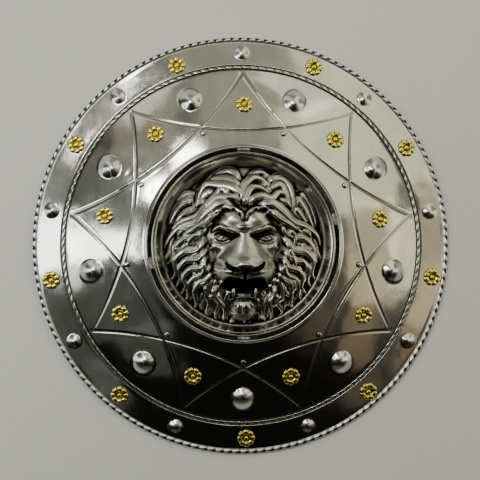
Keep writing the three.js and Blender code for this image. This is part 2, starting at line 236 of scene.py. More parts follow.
def add_piece(name, points, faces, finish, stands_for, shade_and_wear=None, painted_highlight=None):
    """Makes a smooth-shaded mesh object from points in millimetres and triangles. hollow
    is painted shade, 0 on a crest and 1 in a recess, and most finishes darken by it; on the
    straps it marks their worn edges, which it makes paler. filed is a painted highlight, 1
    where the finish is made lighter and rougher."""
    faces = outward(points, faces)
    mesh = bpy.data.meshes.new(name)
    mesh.vertices.add(len(points))
    mesh.vertices.foreach_set("co", (points * MM).astype(np.float32).ravel())
    mesh.loops.add(faces.size)
    mesh.loops.foreach_set("vertex_index", faces.astype(np.int32).ravel())
    mesh.polygons.add(len(faces))
    mesh.polygons.foreach_set("loop_start", np.arange(0, faces.size, 3, dtype=np.int32))
    mesh.update(calc_edges=True)
    for layer, values in (("shade_and_wear", shade_and_wear), ("painted_highlight", painted_highlight)):
        if values is not None:
            shade = mesh.attributes.new(layer, "FLOAT", "POINT")
            shade.data.foreach_set("value", np.ravel(values).astype(np.float32))
    mesh.shade_smooth()
    mesh.set_sharp_from_angle(angle=np.radians(SHARP_EDGE))
    mesh.materials.append(finish)
    piece = bpy.data.objects.new(name, mesh)
    bpy.context.scene.collection.objects.link(piece)
    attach(piece, "root")
    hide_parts(*stands_for)
    return piece


def tube(grid, ends=None):
    """Points and triangles of a closed tube: rows of round sections, and a fan from each end
    row to its middle, or to the end point that is given."""
    rows, columns = grid.shape[:2]
    points = np.concatenate([grid.reshape(-1, 3), grid[[0, -1]].mean(1) if ends is None else ends])
    here = np.arange(columns)
    ahead = (here + 1) % columns
    last, count = (rows - 1) * columns, rows * columns
    start = np.stack([ahead, here, np.full(columns, count)], 1)
    end = np.stack([last + here, last + ahead, np.full(columns, count + 1)], 1)
    return points, np.concatenate([grid_faces(rows, columns, False, True), start, end])


def turned_body(profile, columns):
    """Points and triangles of a body turned about the Z axis, from a profile of (radius,
    height) pairs that starts and ends on the axis."""
    profile = np.array(profile, float)
    grid = polar(profile[1:-1, :1], turns(columns), profile[1:-1, 1:])
    return tube(grid, [[0, 0, z] for z in profile[[0, -1], 1]])


# --- Finishes ---------------------------------------------------------------------------

RANGE_SOCKETS = ("From Min", "From Max", "To Min", "To Max")


class Finish:
    """A material's nodes, made one by one and linked in the order that they are named."""

    def __init__(self, name):
        self.material = bpy.data.materials.new(name)
        self.material.use_nodes = True
        self.nodes = self.material.node_tree.nodes
        self.links = self.material.node_tree.links
        self.shader = self.nodes["Principled BSDF"]
        self.place = self.nodes.new("ShaderNodeTexCoord").outputs["Object"]

    def put(self, source, target):
        """Links a source to a socket, or sets the socket's own value."""
        if isinstance(source, bpy.types.NodeSocket):
            self.links.new(source, target)
        else:
            target.default_value = source

    def noise(self, scale, detail=3.0, roughness=0.5, stretch=(1, 1, 1)):
        mapping = self.nodes.new("ShaderNodeMapping")
        self.put(self.place, mapping.inputs["Vector"])
        mapping.inputs["Scale"].default_value = stretch
        node = self.nodes.new("ShaderNodeTexNoise")
        self.put(mapping.outputs["Vector"], node.inputs["Vector"])
        node.inputs["Scale"].default_value = scale
        node.inputs["Detail"].default_value = detail
        node.inputs["Roughness"].default_value = roughness
        return node.outputs["Fac"]

    def cells(self, scale):
        node = self.nodes.new("ShaderNodeTexVoronoi")
        self.put(self.place, node.inputs["Vector"])
        node.inputs["Scale"].default_value = scale
        return node.outputs["Distance"]

    def attribute(self, name):
        node = self.nodes.new("ShaderNodeAttribute")
        node.attribute_name = name
        return node.outputs["Fac"]

    def ranged(self, value, low, high, to_low, to_high):
        node = self.nodes.new("ShaderNodeMapRange")
        self.put(value, node.inputs["Value"])
        for name, limit in zip(RANGE_SOCKETS, (low, high, to_low, to_high)):
            node.inputs[name].default_value = limit
        return node.outputs["Result"]

    def math(self, operation, a, b):
        node = self.nodes.new("ShaderNodeMath")
        node.operation = operation
        self.put(a, node.inputs[0])
        self.put(b, node.inputs[1])
        return node.outputs[0]

    def blend(self, share, a, b):
        node = self.nodes.new("ShaderNodeMix")
        node.data_type = "RGBA"
        self.put(share, node.inputs["Factor"])
        self.put(a, node.inputs[6])
        self.put(b, node.inputs[7])
        return node.outputs[2]

    def bump(self, height, distance, strength=1.0, below=None):
        node = self.nodes.new("ShaderNodeBump")
        self.put(height, node.inputs["Height"])
        node.inputs["Distance"].default_value = distance
        node.inputs["Strength"].default_value = strength
        if below is not None:
            self.put(below, node.inputs["Normal"])
        return node.outputs["Normal"]

    def finish(self, **sockets):
        for name, source in sockets.items():
            self.put(source, self.shader.inputs[name.replace("_", " ")])
        return self.material


def polished_steel():
    """Hand-polished sheet: slow waves, faint smears and fine scratches, with painted shade
    that darkens it to near black in the grooves and creases, and a painted highlight that
    makes it lighter on the domes and the rolled edge."""
    steel = Finish("polished_steel")
    shade_and_wear = steel.attribute("shade_and_wear")
    smear = steel.noise(26, 4, 0.6, (1, 0.7, 1))
    scratch = steel.noise(900, 2, 0.6, (1, 0.05, 0.3))
    tone = steel.blend(steel.ranged(smear, 0.35, 0.7, 0, 1),
                       (0.55, 0.55, 0.495, 1), (0.66, 0.66, 0.61, 1))
    # Painted highlight: lighter colour on the domes, the rope and the rim's edge.
    painted_highlight = steel.attribute("painted_highlight")
    tone = steel.blend(painted_highlight, tone, (0.86, 0.86, 0.84, 1))
    # Painted shade: near black in the grooves, creases and nicks, and round the feet of the domes.
    colour = steel.blend(shade_and_wear, tone, (0.035, 0.03, 0.022, 1))
    rough = steel.ranged(smear, 0.3, 0.75, 0.08, 0.15)
    rough = steel.math("ADD", rough, steel.ranged(scratch, 0.4, 0.8, 0, 0.06))
    rough = steel.math("ADD", rough, steel.math("MULTIPLY", shade_and_wear, 0.35))
    rough = steel.math("ADD", rough, steel.math("MULTIPLY", painted_highlight, 0.22))
    waves = steel.bump(steel.noise(17, 1.5, 0.4), 0.0022, 0.6)
    dents = steel.bump(steel.noise(75, 2, 0.5), 0.00012, 0.6, waves)
    return steel.finish(Base_Color=colour, Metallic=1.0, Roughness=rough, Normal=dents)


def antiqued_steel():
    """Relief with painted shade, near black in its recesses, and bright on its crests."""
    steel = Finish("antiqued_steel")
    shade_and_wear = steel.attribute("shade_and_wear")
    cloud = steel.noise(60, 4, 0.6)
    # Painted shade with a little noise: near black in the recesses, the mouth and round the eyes.
    shade_with_noise = steel.math("ADD", shade_and_wear, steel.ranged(cloud, 0.3, 0.7, -0.03, 0.03))
    black = steel.ranged(shade_with_noise, 0.36, 0.86, 0, 1)
    bright = steel.blend(cloud, (0.43, 0.425, 0.365, 1), (0.60, 0.59, 0.53, 1))
    colour = steel.blend(black, bright, (0.016, 0.014, 0.011, 1))
    rough = steel.ranged(black, 0, 1, 0.24, 0.5)
    grain = steel.bump(steel.noise(300, 2, 0.5), 0.00006, 0.4)
    return steel.finish(Base_Color=colour, Metallic=1.0, Roughness=rough, Normal=grain)


def rivet_steel():
    steel = Finish("rivet_steel")
    cloud = steel.noise(300, 3)
    bright = steel.blend(cloud, (0.55, 0.54, 0.5, 1), (0.72, 0.71, 0.66, 1))
    # Painted shade: the head is darkened toward its rim, as an outline.
    colour = steel.blend(steel.attribute("shade_and_wear"), bright, (0.03, 0.026, 0.02, 1))
    rough = steel.ranged(cloud, 0.3, 0.7, 0.15, 0.3)
    dents = steel.bump(steel.noise(500, 2), 0.0001, 0.5)
    return steel.finish(Base_Color=colour, Metallic=1.0, Roughness=rough, Normal=dents)


def gilt_brass():
    """Bright gilding, with painted shade that darkens it between the petals, round the bead
    and at the edge.
    """
    gilt = Finish("gilt_brass")
    shade_and_wear = gilt.attribute("shade_and_wear")
    cloud = gilt.noise(240, 3)
    bright = gilt.blend(cloud, (0.86, 0.71, 0.19, 1), (0.97, 0.87, 0.35, 1))
    # Painted shade: dark brown between the petals, round the bead and at the edge.
    dark = gilt.ranged(shade_and_wear, 0.35, 0.95, 0, 1)
    colour = gilt.blend(dark, bright, (0.07, 0.048, 0.012, 1))
    rough = gilt.ranged(cloud, 0.3, 0.7, 0.18, 0.32)
    grain = gilt.bump(gilt.noise(900, 2), 0.00008, 0.5)
    return gilt.finish(Base_Color=colour, Metallic=1.0, Roughness=rough, Normal=grain)


def weld_metal():
    weld = Finish("weld_metal")
    cloud = weld.noise(380, 5, 0.7)
    colour = weld.blend(weld.ranged(cloud, 0.35, 0.65, 0, 1),
                        (0.12, 0.11, 0.1, 1), (0.5, 0.49, 0.46, 1))
    pits = weld.bump(weld.noise(800, 4, 0.7), 0.0005, 0.8)
    rough = weld.ranged(cloud, 0.3, 0.7, 0.55, 0.3)
    return weld.finish(Base_Color=colour, Metallic=1.0, Roughness=rough, Normal=pits)


def strap_leather():
    """Oiled leather: a fine pebbled grain, worn paler along its edges."""
    leather = Finish("strap_leather")
    cloud = leather.noise(90, 4, 0.6)
    edge = leather.attribute("shade_and_wear")
    colour = leather.blend(cloud, (0.035, 0.017, 0.009, 1), (0.12, 0.06, 0.03, 1))
    colour = leather.blend(edge, colour, (0.2, 0.115, 0.06, 1))
    rough = leather.ranged(cloud, 0.3, 0.7, 0.45, 0.65)
    grain = leather.bump(leather.cells(900), 0.0003, 0.7)
    return leather.finish(Base_Color=colour, Roughness=rough, Normal=grain)


STEEL = polished_steel()
LION = antiqued_steel()
RIVET = rivet_steel()
GILT = gilt_brass()
WELD = weld_metal()
LEATHER = strap_leather()

# --- Camera, lights and floor -----------------------------------------------------------

# In metres, but for the lens, which is in millimetres. The lean is how far aside the camera
# stands for each metre of its height.
CAMERA_HEIGHT = 2.4
CAMERA_LEAN = (-0.061, -0.026)
CAMERA_AIM = Vector((-0.0019, 0.0066, 0.0))
CAMERA_LENS = 134
FLOOR_SIZE = 9.0

# azimuth and tilt from straight up in degrees, width and height in metres, colour, radiance
SOFTBOXES = {
    "key_upper_left": (-48, 28.5, 0.42, 0.20, (1.0, 1.0, 0.98), 3.2),
    "key_upper": (-28, 31.5, 0.24, 0.28, (1.0, 1.0, 0.95), 2.2),
    "window_left": (-88, 43, 0.92, 0.36, (0.93, 0.99, 1.0), 1.0),
    "wall_left": (-64, 46, 1.00, 0.75, (0.96, 1.0, 0.90), 0.035),
    "wall_upper_left": (-34, 50, 0.60, 0.75, (1.0, 0.90, 0.70), 0.05),
    "wall_top": (2, 46, 0.80, 1.00, (0.98, 1.0, 0.78), 0.05),
    "wall_right": (48, 47, 1.20, 1.10, (1.0, 0.99, 0.72), 0.17),
    "wall_right_low": (90, 47, 0.60, 1.05, (1.0, 0.86, 0.58), 0.10),
    "wall_lower_right": (115, 47, 0.40, 1.10, (1.0, 0.72, 0.44), 0.05),
    "corner_lower_right": (131, 36, 0.28, 0.40, (1.0, 0.72, 0.44), 0.02),
    "wall_left_low": (-116, 43, 0.95, 0.70, (0.96, 1.0, 0.94), 0.024),
    "corner_lower_left": (-141, 42, 0.50, 0.50, (0.96, 1.0, 0.94), 0.022),
    "over_top": (-20, 14, 0.95, 0.22, (1.0, 1.0, 0.92), 0.8),
    "low_left": (-90, 76, 1.90, 0.80, (0.95, 1.0, 0.96), 0.30),
    "low_upper_left": (-35, 76, 1.70, 0.80, (1.0, 1.0, 0.90), 0.13),
    "low_upper_right": (30, 76, 1.90, 0.80, (1.0, 1.0, 0.82), 0.16),
    "low_right": (90, 76, 1.70, 0.80, (1.0, 0.95, 0.75), 0.20),
    "low_bottom": (180, 78, 2.40, 0.60, (1.0, 0.96, 0.88), 0.02),
}
LIGHT_DISTANCE = 1.9
# The room grows brighter toward one side: lowest and highest share of the way there, and
# the strength of the light at both.
ROOM_BRIGHT_SIDE = (0.5, 0.9, 0.1)
ROOM_LIMITS = (-0.2, 0.7, 0.012, 0.24)


def aimed(place, aim):
    """Matrix of something at a place that looks along its own -Z at the aim, with its own
    +Y as near to the top of the lion's head as it can be."""
    back = (place - aim).normalized()
    right = Vector((0, 1, 0)).cross(back).normalized()
    turn = Matrix((right, back.cross(right), back)).transposed()
    return Matrix.Translation(place) @ turn.to_4x4()


def add_camera():
    camera = bpy.data.objects.new("camera", bpy.data.cameras.new("camera"))
    bpy.context.scene.collection.objects.link(camera)
    camera.matrix_world = aimed(Vector((*CAMERA_LEAN, 1.0)) * CAMERA_HEIGHT, CAMERA_AIM)
    camera.data.lens = CAMERA_LENS
    bpy.context.scene.camera = camera


def add_softboxes():
    """Each softbox faces the middle of the shield, and its power is worked out from the
    radiance of its face."""
    for name, (azimuth, tilt, width, height, colour, radiance) in SOFTBOXES.items():
        turn, lean = np.radians(azimuth), np.radians(tilt)
        way = Vector((np.sin(turn) * np.sin(lean), np.cos(turn) * np.sin(lean), np.cos(lean)))
        data = bpy.data.lights.new(name, "AREA")
        data.shape = "RECTANGLE"
        data.size, data.size_y = width, height
        data.color = colour
        data.energy = radiance * np.pi * width * height * 4
        light = bpy.data.objects.new(name, data)
        bpy.context.scene.collection.objects.link(light)
        light.matrix_world = aimed(way * LIGHT_DISTANCE, Vector((0, 0, 0)))


def add_floor():
    floor = Finish("pale_floor")
    cloud = floor.noise(3, 3)
    colour = floor.blend(cloud, (0.84, 0.83, 0.81, 1), (0.87, 0.86, 0.84, 1))
    finish = floor.finish(Base_Color=colour, Roughness=0.9)
    half = FLOOR_SIZE / 2
    mesh = bpy.data.meshes.new("floor")
    mesh.from_pydata([(-half, -half, 0), (half, -half, 0), (half, half, 0), (-half, half, 0)],
                     [], [(0, 1, 2, 3)])
    mesh.materials.append(finish)
    plane = bpy.data.objects.new("floor", mesh)
    bpy.context.scene.collection.objects.link(plane)


def add_room():
    world = bpy.data.worlds.new("room")
    world.use_nodes = True
    nodes, links = world.node_tree.nodes, world.node_tree.links
    back = nodes["Background"]
    back.inputs["Color"].default_value = (1.0, 0.99, 0.88, 1)
    toward = nodes.new("ShaderNodeVectorMath")
    toward.operation = "DOT_PRODUCT"
    toward.inputs[1].default_value = ROOM_BRIGHT_SIDE
    links.new(nodes.new("ShaderNodeTexCoord").outputs["Generated"], toward.inputs[0])
    strength = nodes.new("ShaderNodeMapRange")
    links.new(toward.outputs["Value"], strength.inputs["Value"])
    for name, limit in zip(RANGE_SOCKETS, ROOM_LIMITS):
        strength.inputs[name].default_value = limit
    links.new(strength.outputs["Result"], back.inputs["Strength"])
    bpy.context.scene.world = world
    bpy.context.scene.view_settings.look = "AgX - Medium High Contrast"


add_camera()
add_softboxes()
add_floor()
add_room()

# --- Plate: the domes that are pressed into it ------------------------------------------


def dome_turn(turn, domes):
    """Turn of the dome that is nearest to a turn."""
    sector = TURN / SECTORS
    return (np.round(turn / sector - domes["offset"]) + domes["offset"]) * sector


def dome_rise(x, y, domes):
    """(height, distance) of the nearest dome: a hump whose power rounds its foot off, and
    the small point in its middle; the distance is from that middle."""
    radius, turn = np.hypot(x, y), np.arctan2(x, y)
    off = turn - dome_turn(turn, domes)
    span = np.hypot(radius * np.sin(off), radius * np.cos(off) - domes["radius"])
    point = domes["point"] * ridge(span, 0, PUNCH_HALF_WIDTH)
    return domes["height"] * hump(span / domes["foot"], domes["power"]) + point, span


def ringed(row, turn, radius, domes, half, step):
    """(x, y) of a polar grid, bent near each dome so that its lines run round the dome. A
    square block of cells, half cells each way from the dome's middle, becomes a disc: each
    cell keeps its share of the way out and of the turn. Outside the block the bend fades."""
    centre = dome_turn(turn, domes)
    p, q = row / half, (turn - centre) / (half * step)
    most = np.maximum(np.abs(p), np.abs(q))
    safe_p, safe_q = np.where(p == 0, 1e-9, p), np.where(q == 0, 1e-9, q)
    sideways = np.abs(q) > np.abs(p)
    angle = np.where(sideways, np.pi / 4 * p / safe_q, np.pi / 2 - np.pi / 4 * q / safe_p)
    away = domes["block"] * most**1.05 * np.sign(np.where(sideways, q, p))
    across, out = away * np.cos(angle), away * np.sin(angle) + domes["radius"]
    disc_x = out * np.sin(centre) + across * np.cos(centre)
    disc_y = out * np.cos(centre) - across * np.sin(centre)
    share = 1 - ease(most, *DISC_FADE)
    return mix(radius * np.sin(turn), disc_x, share), mix(radius * np.cos(turn), disc_y, share)


def sheet_waves(x, y):
    """Slow waves of a sheet raised by hand: eight sine waves with random headings."""
    rng = np.random.default_rng(5)
    total = np.zeros_like(x)
    for _ in range(8):
        heading, phase = rng.uniform(0, TURN, 2)
        length = rng.uniform(60, 130)
        along = x * np.cos(heading) + y * np.sin(heading)
        total += WAVE_RISE * np.sin(TURN * along / length + phase)
    return total


def dents(x, y):
    """Depth of the small dents beside one dome: nine bells with seeded places and sizes."""
    rng = np.random.default_rng(3)
    depth = np.zeros_like(x)
    middle = np.array([np.sin(DENT_TURN), np.cos(DENT_TURN)]) * DENT_RADIUS
    for _ in range(9):
        place = middle + rng.normal(0, 10, 2)
        half = rng.uniform(2.5, 6, 2)
        depth += rng.uniform(0.12, 0.35) * bell(x, y, place, half, rng.uniform(0, np.pi))
    return depth


# --- Plate: the field -------------------------------------------------------------------

FIELD_COLUMNS = 720
FIELD_STEP = TURN / FIELD_COLUMNS
STAR_CHORD = STAR_TIP * np.sin(TURN / SECTORS)
STAR_BOW = STAR_TIP * np.cos(TURN / SECTORS) - STAR_WAIST
ARC_RADIUS = (STAR_CHORD**2 + STAR_BOW**2) / (2 * STAR_BOW)
ARC_CENTRE = STAR_WAIST + ARC_RADIUS
STAR_ROWS = 80  # rows between the waist and the tips
DOME_ROW = 71  # row through the middles of the domes
DOME_HALF = 10  # cells from there to the edge of the block that is bent round a dome
OUTER_ROWS = 8
INNER_ROWS = 13
WAIST_ROWS = 28  # up to this row every second one is enough


def star_radius(step):
    """Radius where an arc of the star stands step half degrees from its middle: the
    crossing, nearer the middle, of that ray with the arc's circle."""
    angle = np.clip(step, 0, STAR_ROWS) * FIELD_STEP
    along = ARC_CENTRE * np.cos(angle)
    return along - np.sqrt(ARC_RADIUS**2 - (ARC_CENTRE * np.sin(angle)) ** 2)


def field_radius(step):
    """Radius of a row of the field. Between the star's waist and its tips the rows and the
    columns cross on the arcs, so that a groove runs from corner to corner of the cells."""
    lip_foot = LIP_RADIUS + 2 * LIP_ROLL + 1.2
    inner = np.clip(-step, 0, INNER_ROWS) / INNER_ROWS
    outer = np.clip(step - STAR_ROWS, 0, OUTER_ROWS) / OUTER_ROWS
    return (star_radius(step) - inner**1.35 * (STAR_WAIST - lip_foot)
            + outer * (SEAM_RADIUS - STAR_TIP))


def star_grooves(x, y, half_width):
    """(height, hollow) of the pressed lines: along nine arcs a rounded V, with a low
    shoulder on both sides."""
    gap = np.full_like(x, 1e3)
    for turn in sector_turns(0):
        middle = ARC_CENTRE * np.sin(turn), ARC_CENTRE * np.cos(turn)
        gap = np.minimum(gap, np.abs(np.hypot(x - middle[0], y - middle[1]) - ARC_RADIUS))
    inside = 1 - ease(np.hypot(x, y), STAR_TIP + 0.5, STAR_TIP + 3.5)
    valley = ridge(gap, 0, half_width) * inside
    shoulder = ridge(gap, 2.1 * half_width, half_width) * inside
    # The valley is also returned as painted shade that darkens the groove.
    return SHOULDER_RISE * shoulder - GROOVE_DEPTH * valley, valley


def field_sheet(steps, lift, groove_width):
    """(points, hollow, filed) of one side of the field."""
    row, turn = np.meshgrid(steps, turns(FIELD_COLUMNS), indexing="ij")
    x, y = ringed(row - DOME_ROW, turn, field_radius(row), FIELD_DOMES, DOME_HALF, FIELD_STEP)
    dome, span = dome_rise(x, y, FIELD_DOMES)
    groove, shade_and_wear = star_grooves(x, y, groove_width)
    plan = np.hypot(x, y)
    # The crease at the seam is pressed in, and darkened by painted shade.
    crease = ridge(plan, SEAM_RADIUS, 0.9)
    z = face_height(plan) + dome + groove + sheet_waves(x, y) * ease(SEAM_RADIUS - plan, 0, 12)
    z = z - dents(x, y) - 0.45 * crease + lift * np.hypot(1, face_slope(plan))
    # Painted shade: a dark ring round the foot of each dome, and darker grooves and crease.
    foot = 0.14 * ridge(span, 0.98 * FIELD_DOMES["foot"], 1.3)
    shade_and_wear = np.maximum(shade_and_wear * 0.55, np.maximum(crease, foot))
    # The domes get a painted highlight that makes them lighter inside their feet.
    return np.stack([x, y, z], -1), shade_and_wear, 0.5 * ease(FIELD_DOMES["foot"] - span, 0, 4)


def lip_rows():
    """(points, hollow) of the rolled lip round the hole: a round section from the inside of
    the hole over the crest and down to the field."""
    angle = np.radians(np.linspace(200, 8, 9))[:, None]
    turn = turns(FIELD_COLUMNS)
    radius = LIP_RADIUS + LIP_ROLL * (1 + np.cos(angle))
    z = face_height(radius) + LIP_RISE - LIP_ROLL + LIP_ROLL * np.sin(angle)
    z = z + sheet_waves(radius * np.sin(turn), radius * np.cos(turn))
    # Painted shade: darker on the inner side of the roll, toward the hole.
    shade_and_wear = 0.5 * ease(angle, np.radians(150), np.radians(200))
    return polar(radius, turn, z), np.broadcast_to(shade_and_wear, z.shape)


def add_field():
    """The field is one closed sheet: lip, face, seam wall, underside. Each cell is parted
    along the diagonal that the star's grooves follow."""
    outermost = STAR_ROWS + OUTER_ROWS
    face_steps = np.concatenate([np.arange(-INNER_ROWS, 0), np.arange(0, WAIST_ROWS, 2),
                                 np.arange(WAIST_ROWS, outermost + 1)])
    back_steps = np.concatenate([[outermost], np.arange(outermost - 4, WAIST_ROWS - 2, -2),
                                 [24, 16, 8, 0, -4, -9, -INNER_ROWS]])
    lip, lip_shade = lip_rows()
    face, face_shade, face_highlight = field_sheet(face_steps, 0.0, GROOVE_HALF_WIDTH)
    back, back_shade, _ = field_sheet(back_steps, -SHEET, 2 * GROOVE_HALF_WIDTH)
    # Painted shade on the lip and the face; none on the underside.
    shade_and_wear = np.concatenate([lip_shade, face_shade, np.zeros_like(back_shade)])
    painted_highlight = np.zeros_like(shade_and_wear)
    on_the_face = slice(len(lip), len(lip) + len(face))
    painted_highlight[on_the_face] = face_highlight
    past_crossing = np.zeros(len(shade_and_wear), bool)
    past_crossing[on_the_face] = face_steps >= STAR_ROWS / 2
    rising = (np.arange(FIELD_COLUMNS) + 0.5) * FIELD_STEP * 2 * SECTORS / TURN % 2 < 1
    faces = grid_faces(*shade_and_wear.shape, True, True, past_crossing[:, None] == rising)
    points = np.concatenate([lip, face, back]).reshape(-1, 3)
    add_piece("plate_field", points, faces, STEEL, ["shield_plate"],
              shade_and_wear, painted_highlight)


# --- Plate: rope, rim band and rolled rim -----------------------------------------------

RIM_COLUMNS = 1080
BAND_ROWS = 27
BAND_START = ROPE_RADIUS + ROPE_HALF_WIDTH + 0.9
BAND_END = RIM_RADIUS - 2 * RIM_ROLL + 0.4
BAND_DOME_HALF = 8


def rope_section(turn):
    """(points, hollow) of the raised rope: a round bead, parted by oblique grooves, between
    two creases."""
    run = np.linspace(-1.0, 1.0, 13)[:, None]
    radius = mix(SEAM_RADIUS + 0.1, BAND_START - 0.5, 0.5 + 0.5 * run)
    s = (radius - ROPE_RADIUS) / ROPE_HALF_WIDTH
    bead = hump(s)
    strand = (0.5 + 0.5 * np.cos(ROPE_TWISTS * turn + 2.4 * s)) ** 2.5
    crease = ridge(np.abs(s), 1.08, 0.26)
    z = face_height(radius) + ROPE_RISE * bead * (1 - 0.34 * strand) - 0.5 * crease
    # Painted shade: darker in the creases and in the grooves between the strands.
    return polar(radius, turn, z), np.maximum(crease, strand * bead)


def rim_band(turn):
    """(points, hollow, filed) of the sloping band with its domes."""
    rows = np.arange(BAND_ROWS)
    spacing = (BAND_END - BAND_START) / (BAND_ROWS - 1)
    dome_row = np.round((BAND_START - BAND_DOMES["radius"]) / spacing + rows)
    row, turn = np.meshgrid(dome_row, turn, indexing="ij")
    radius = np.linspace(BAND_START, BAND_END, BAND_ROWS)[:, None]
    x, y = ringed(row, turn, radius, BAND_DOMES, BAND_DOME_HALF, TURN / RIM_COLUMNS)
    dome, span = dome_rise(x, y, BAND_DOMES)
    plan = np.hypot(x, y)
    calm = ease(plan - BAND_START, 0, 5) * ease(BAND_END - plan, 0, 5)
    z = face_height(plan) + dome + sheet_waves(x, y) * calm
    # Painted shade: a dark ring round each dome's foot and a dark line at the band's outer edge.
    foot = 0.14 * ridge(span, 0.95 * BAND_DOMES["foot"], 1.1)
    # Painted highlight: lighter at the band's outer edge and on the domes.
    painted_highlight = ease(plan, BAND_END - 2.5, BAND_END) + 0.5 * ease(BAND_DOMES["foot"] - span, 0, 3)
    return np.stack([x, y, z], -1), foot + 0.1 * ridge(plan, BAND_END, 0.9), np.minimum(painted_highlight, 1)


def rim_roll(turn, start, end, rows):
    """(points, hollow) of the rolled rim: an arc of its round section, parted by nicks that
    are widest outside."""
    angle = np.radians(np.linspace(start, end, rows))[:, None]
    inward = ease(angle, np.radians(35), np.radians(150))
    wave = 0.5 + 0.5 * np.cos(RIM_NICKS * turn + 0.8 * angle)
    nick = ease(wave, 0.12 + 0.6 * inward, 0.9) * (1 - 0.7 * inward)
    nick = nick * ease(angle, np.radians(-75), np.radians(-25))
    size = RIM_ROLL * (1 - 0.26 * nick)
    radius = RIM_RADIUS - RIM_ROLL + size * np.cos(angle)
    z = np.maximum(RIM_ROLL + size * np.sin(angle), 0)
    # Painted shade darkens the nicks.
    return polar(radius, turn, z), np.minimum(1.5 * nick, 1)


def rim_underside(turn):
    radius = np.linspace(BAND_END - 1.5, SEAM_RADIUS + 0.1, 16)[:, None]
    dome, _ = dome_rise(radius * np.sin(turn), radius * np.cos(turn), BAND_DOMES)
    z = face_height(radius) - SHEET * np.hypot(1, face_slope(radius)) + dome
    return polar(radius, turn, z), np.zeros_like(z)


def add_rim():
    """The rim is one closed sheet: rope, band, roll, underside."""
    turn = turns(RIM_COLUMNS)
    rope, rope_shade = rope_section(turn)
    band, band_shade, band_highlight = rim_band(turn)
    roll, roll_shade = rim_roll(turn, 158, -118, 19)
    under, plain = rim_underside(turn)
    shade_and_wear = np.concatenate([rope_shade, band_shade, roll_shade, plain])
    # Painted highlight: a little on the rope, full on the roll.
    painted_highlight = np.concatenate([np.full_like(rope_shade, 0.3), band_highlight,
                            np.ones_like(roll_shade), plain])
    points = np.concatenate([rope, band, roll, under]).reshape(-1, 3)
    faces = grid_faces(*shade_and_wear.shape, True, True)
    add_piece("plate_rim", points, faces, STEEL, ["shield_plate"],
              shade_and_wear, painted_highlight)


add_field()
add_rim()

# --- Flower studs -----------------------------------------------------------------------


def flower_stud():
    """Points, triangles and hollow of a stud: eight rounded petals round a sunk ring with a
    bead in its middle. The height is a function of the share of the way out and the turn."""
    turn = turns(96)
    share = np.linspace(1, 0.06, 15)[:, None]
    wave = np.cos(0.5 * PETALS * turn)
    petal = np.abs(wave) ** 0.55
    edge = FLOWER_RADIUS * (0.88 + 0.12 * petal)
    bump = hump((share - 0.7) / 0.31) * petal**0.38
    ring = ridge(share, 0.36, 0.08)
    z = 0.30 * ease(1 - share, 0, 0.08) + 0.62 * bump - 0.16 * ring + 0.7 * hump(share / 0.27)
    z = np.minimum(FLOWER_FOOT + FLOWER_RISE * z, FLOWER_RISE)
    # Painted shade: dark between the petals, round the bead and at the outer edge.
    valley = ridge(wave, 0, 0.24) * ease(share, 0.3, 0.45)
    shade_and_wear = np.maximum(np.maximum(valley, 0.8 * ease(share, 0.9, 1.0)), ring)
    grid = np.concatenate([polar(edge, turn, SEAT_GAP)[None], polar(share * edge, turn, z)])
    points, faces = tube(grid, [[0, 0, SEAT_GAP], [0, 0, FLOWER_RISE]])
    # The foot ring and the bottom point get painted shade too.
    return points, faces, np.concatenate([np.full(turn.size, 0.6), shade_and_wear.ravel(), [0.6, 0.0]])


def seat_of(node):
    """(radius, turn) of the middle of a stud's foot, from the box round its CAD node."""
    low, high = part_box(node)
    x, y = (low.x + high.x) / 2 / MM, (low.y + high.y) / 2 / MM
    plan = np.hypot(x, y)
    slope = float(face_slope(plan))
    return plan + FLOWER_FOOT * slope / np.hypot(1, slope), np.arctan2(x, y)


def add_flowers():
    points, faces, shade = flower_stud()
    rng = np.random.default_rng(21)
    nodes = [f"{row}_{i + 1}" for row in ("rim_flower", "field_flower") for i in range(SECTORS)]
    for node in nodes:
        spin = rng.uniform(0, TURN)
        c, s = np.cos(spin), np.sin(spin)
        placed = on_face(points @ [[c, s, 0], [-s, c, 0], [0, 0, 1]], *seat_of(node))
        add_piece(f"stud_{node}", placed, faces, GILT, [node], shade)


add_flowers()

# --- Rivets -----------------------------------------------------------------------------


def add_rivets():
    """Each rivet is turned: a round head over the sheet, a shank, and a hammered end whose
    depth below the face comes from its CAD node."""
    bow = np.radians(np.linspace(0, 84, 9))
    head = [(RIVET_HEAD * np.sin(a), RIVET_RISE * np.cos(a) ** 0.45) for a in bow]
    for i, turn in enumerate(sector_turns(0.5)):
        node = f"rivet_{i + 1}"
        low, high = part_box(node)
        grip = (high.z - low.z) / MM - RIVET_RISE - RIVET_TAIL_ROOM
        shank = [(RIVET_HEAD, SEAT_GAP), (RIVET_SHANK, SEAT_GAP), (RIVET_SHANK, -grip)]
        tail = [(r, z - grip) for r, z in RIVET_TAIL]
        points, faces = turned_body([*head, *shank, *tail], 28)
        placed = on_face(points, RIVET_RADIUS, turn)
        # Painted shade: the head is darkened toward its rim, as an outline.
        shade = ease(np.hypot(points[:, 0], points[:, 1]), 2.7, 3.8)
        add_piece(f"stud_{node}", placed, faces, RIVET, [node], shade)


add_rivets()

# --- Lion medallion: the relief ---------------------------------------------------------

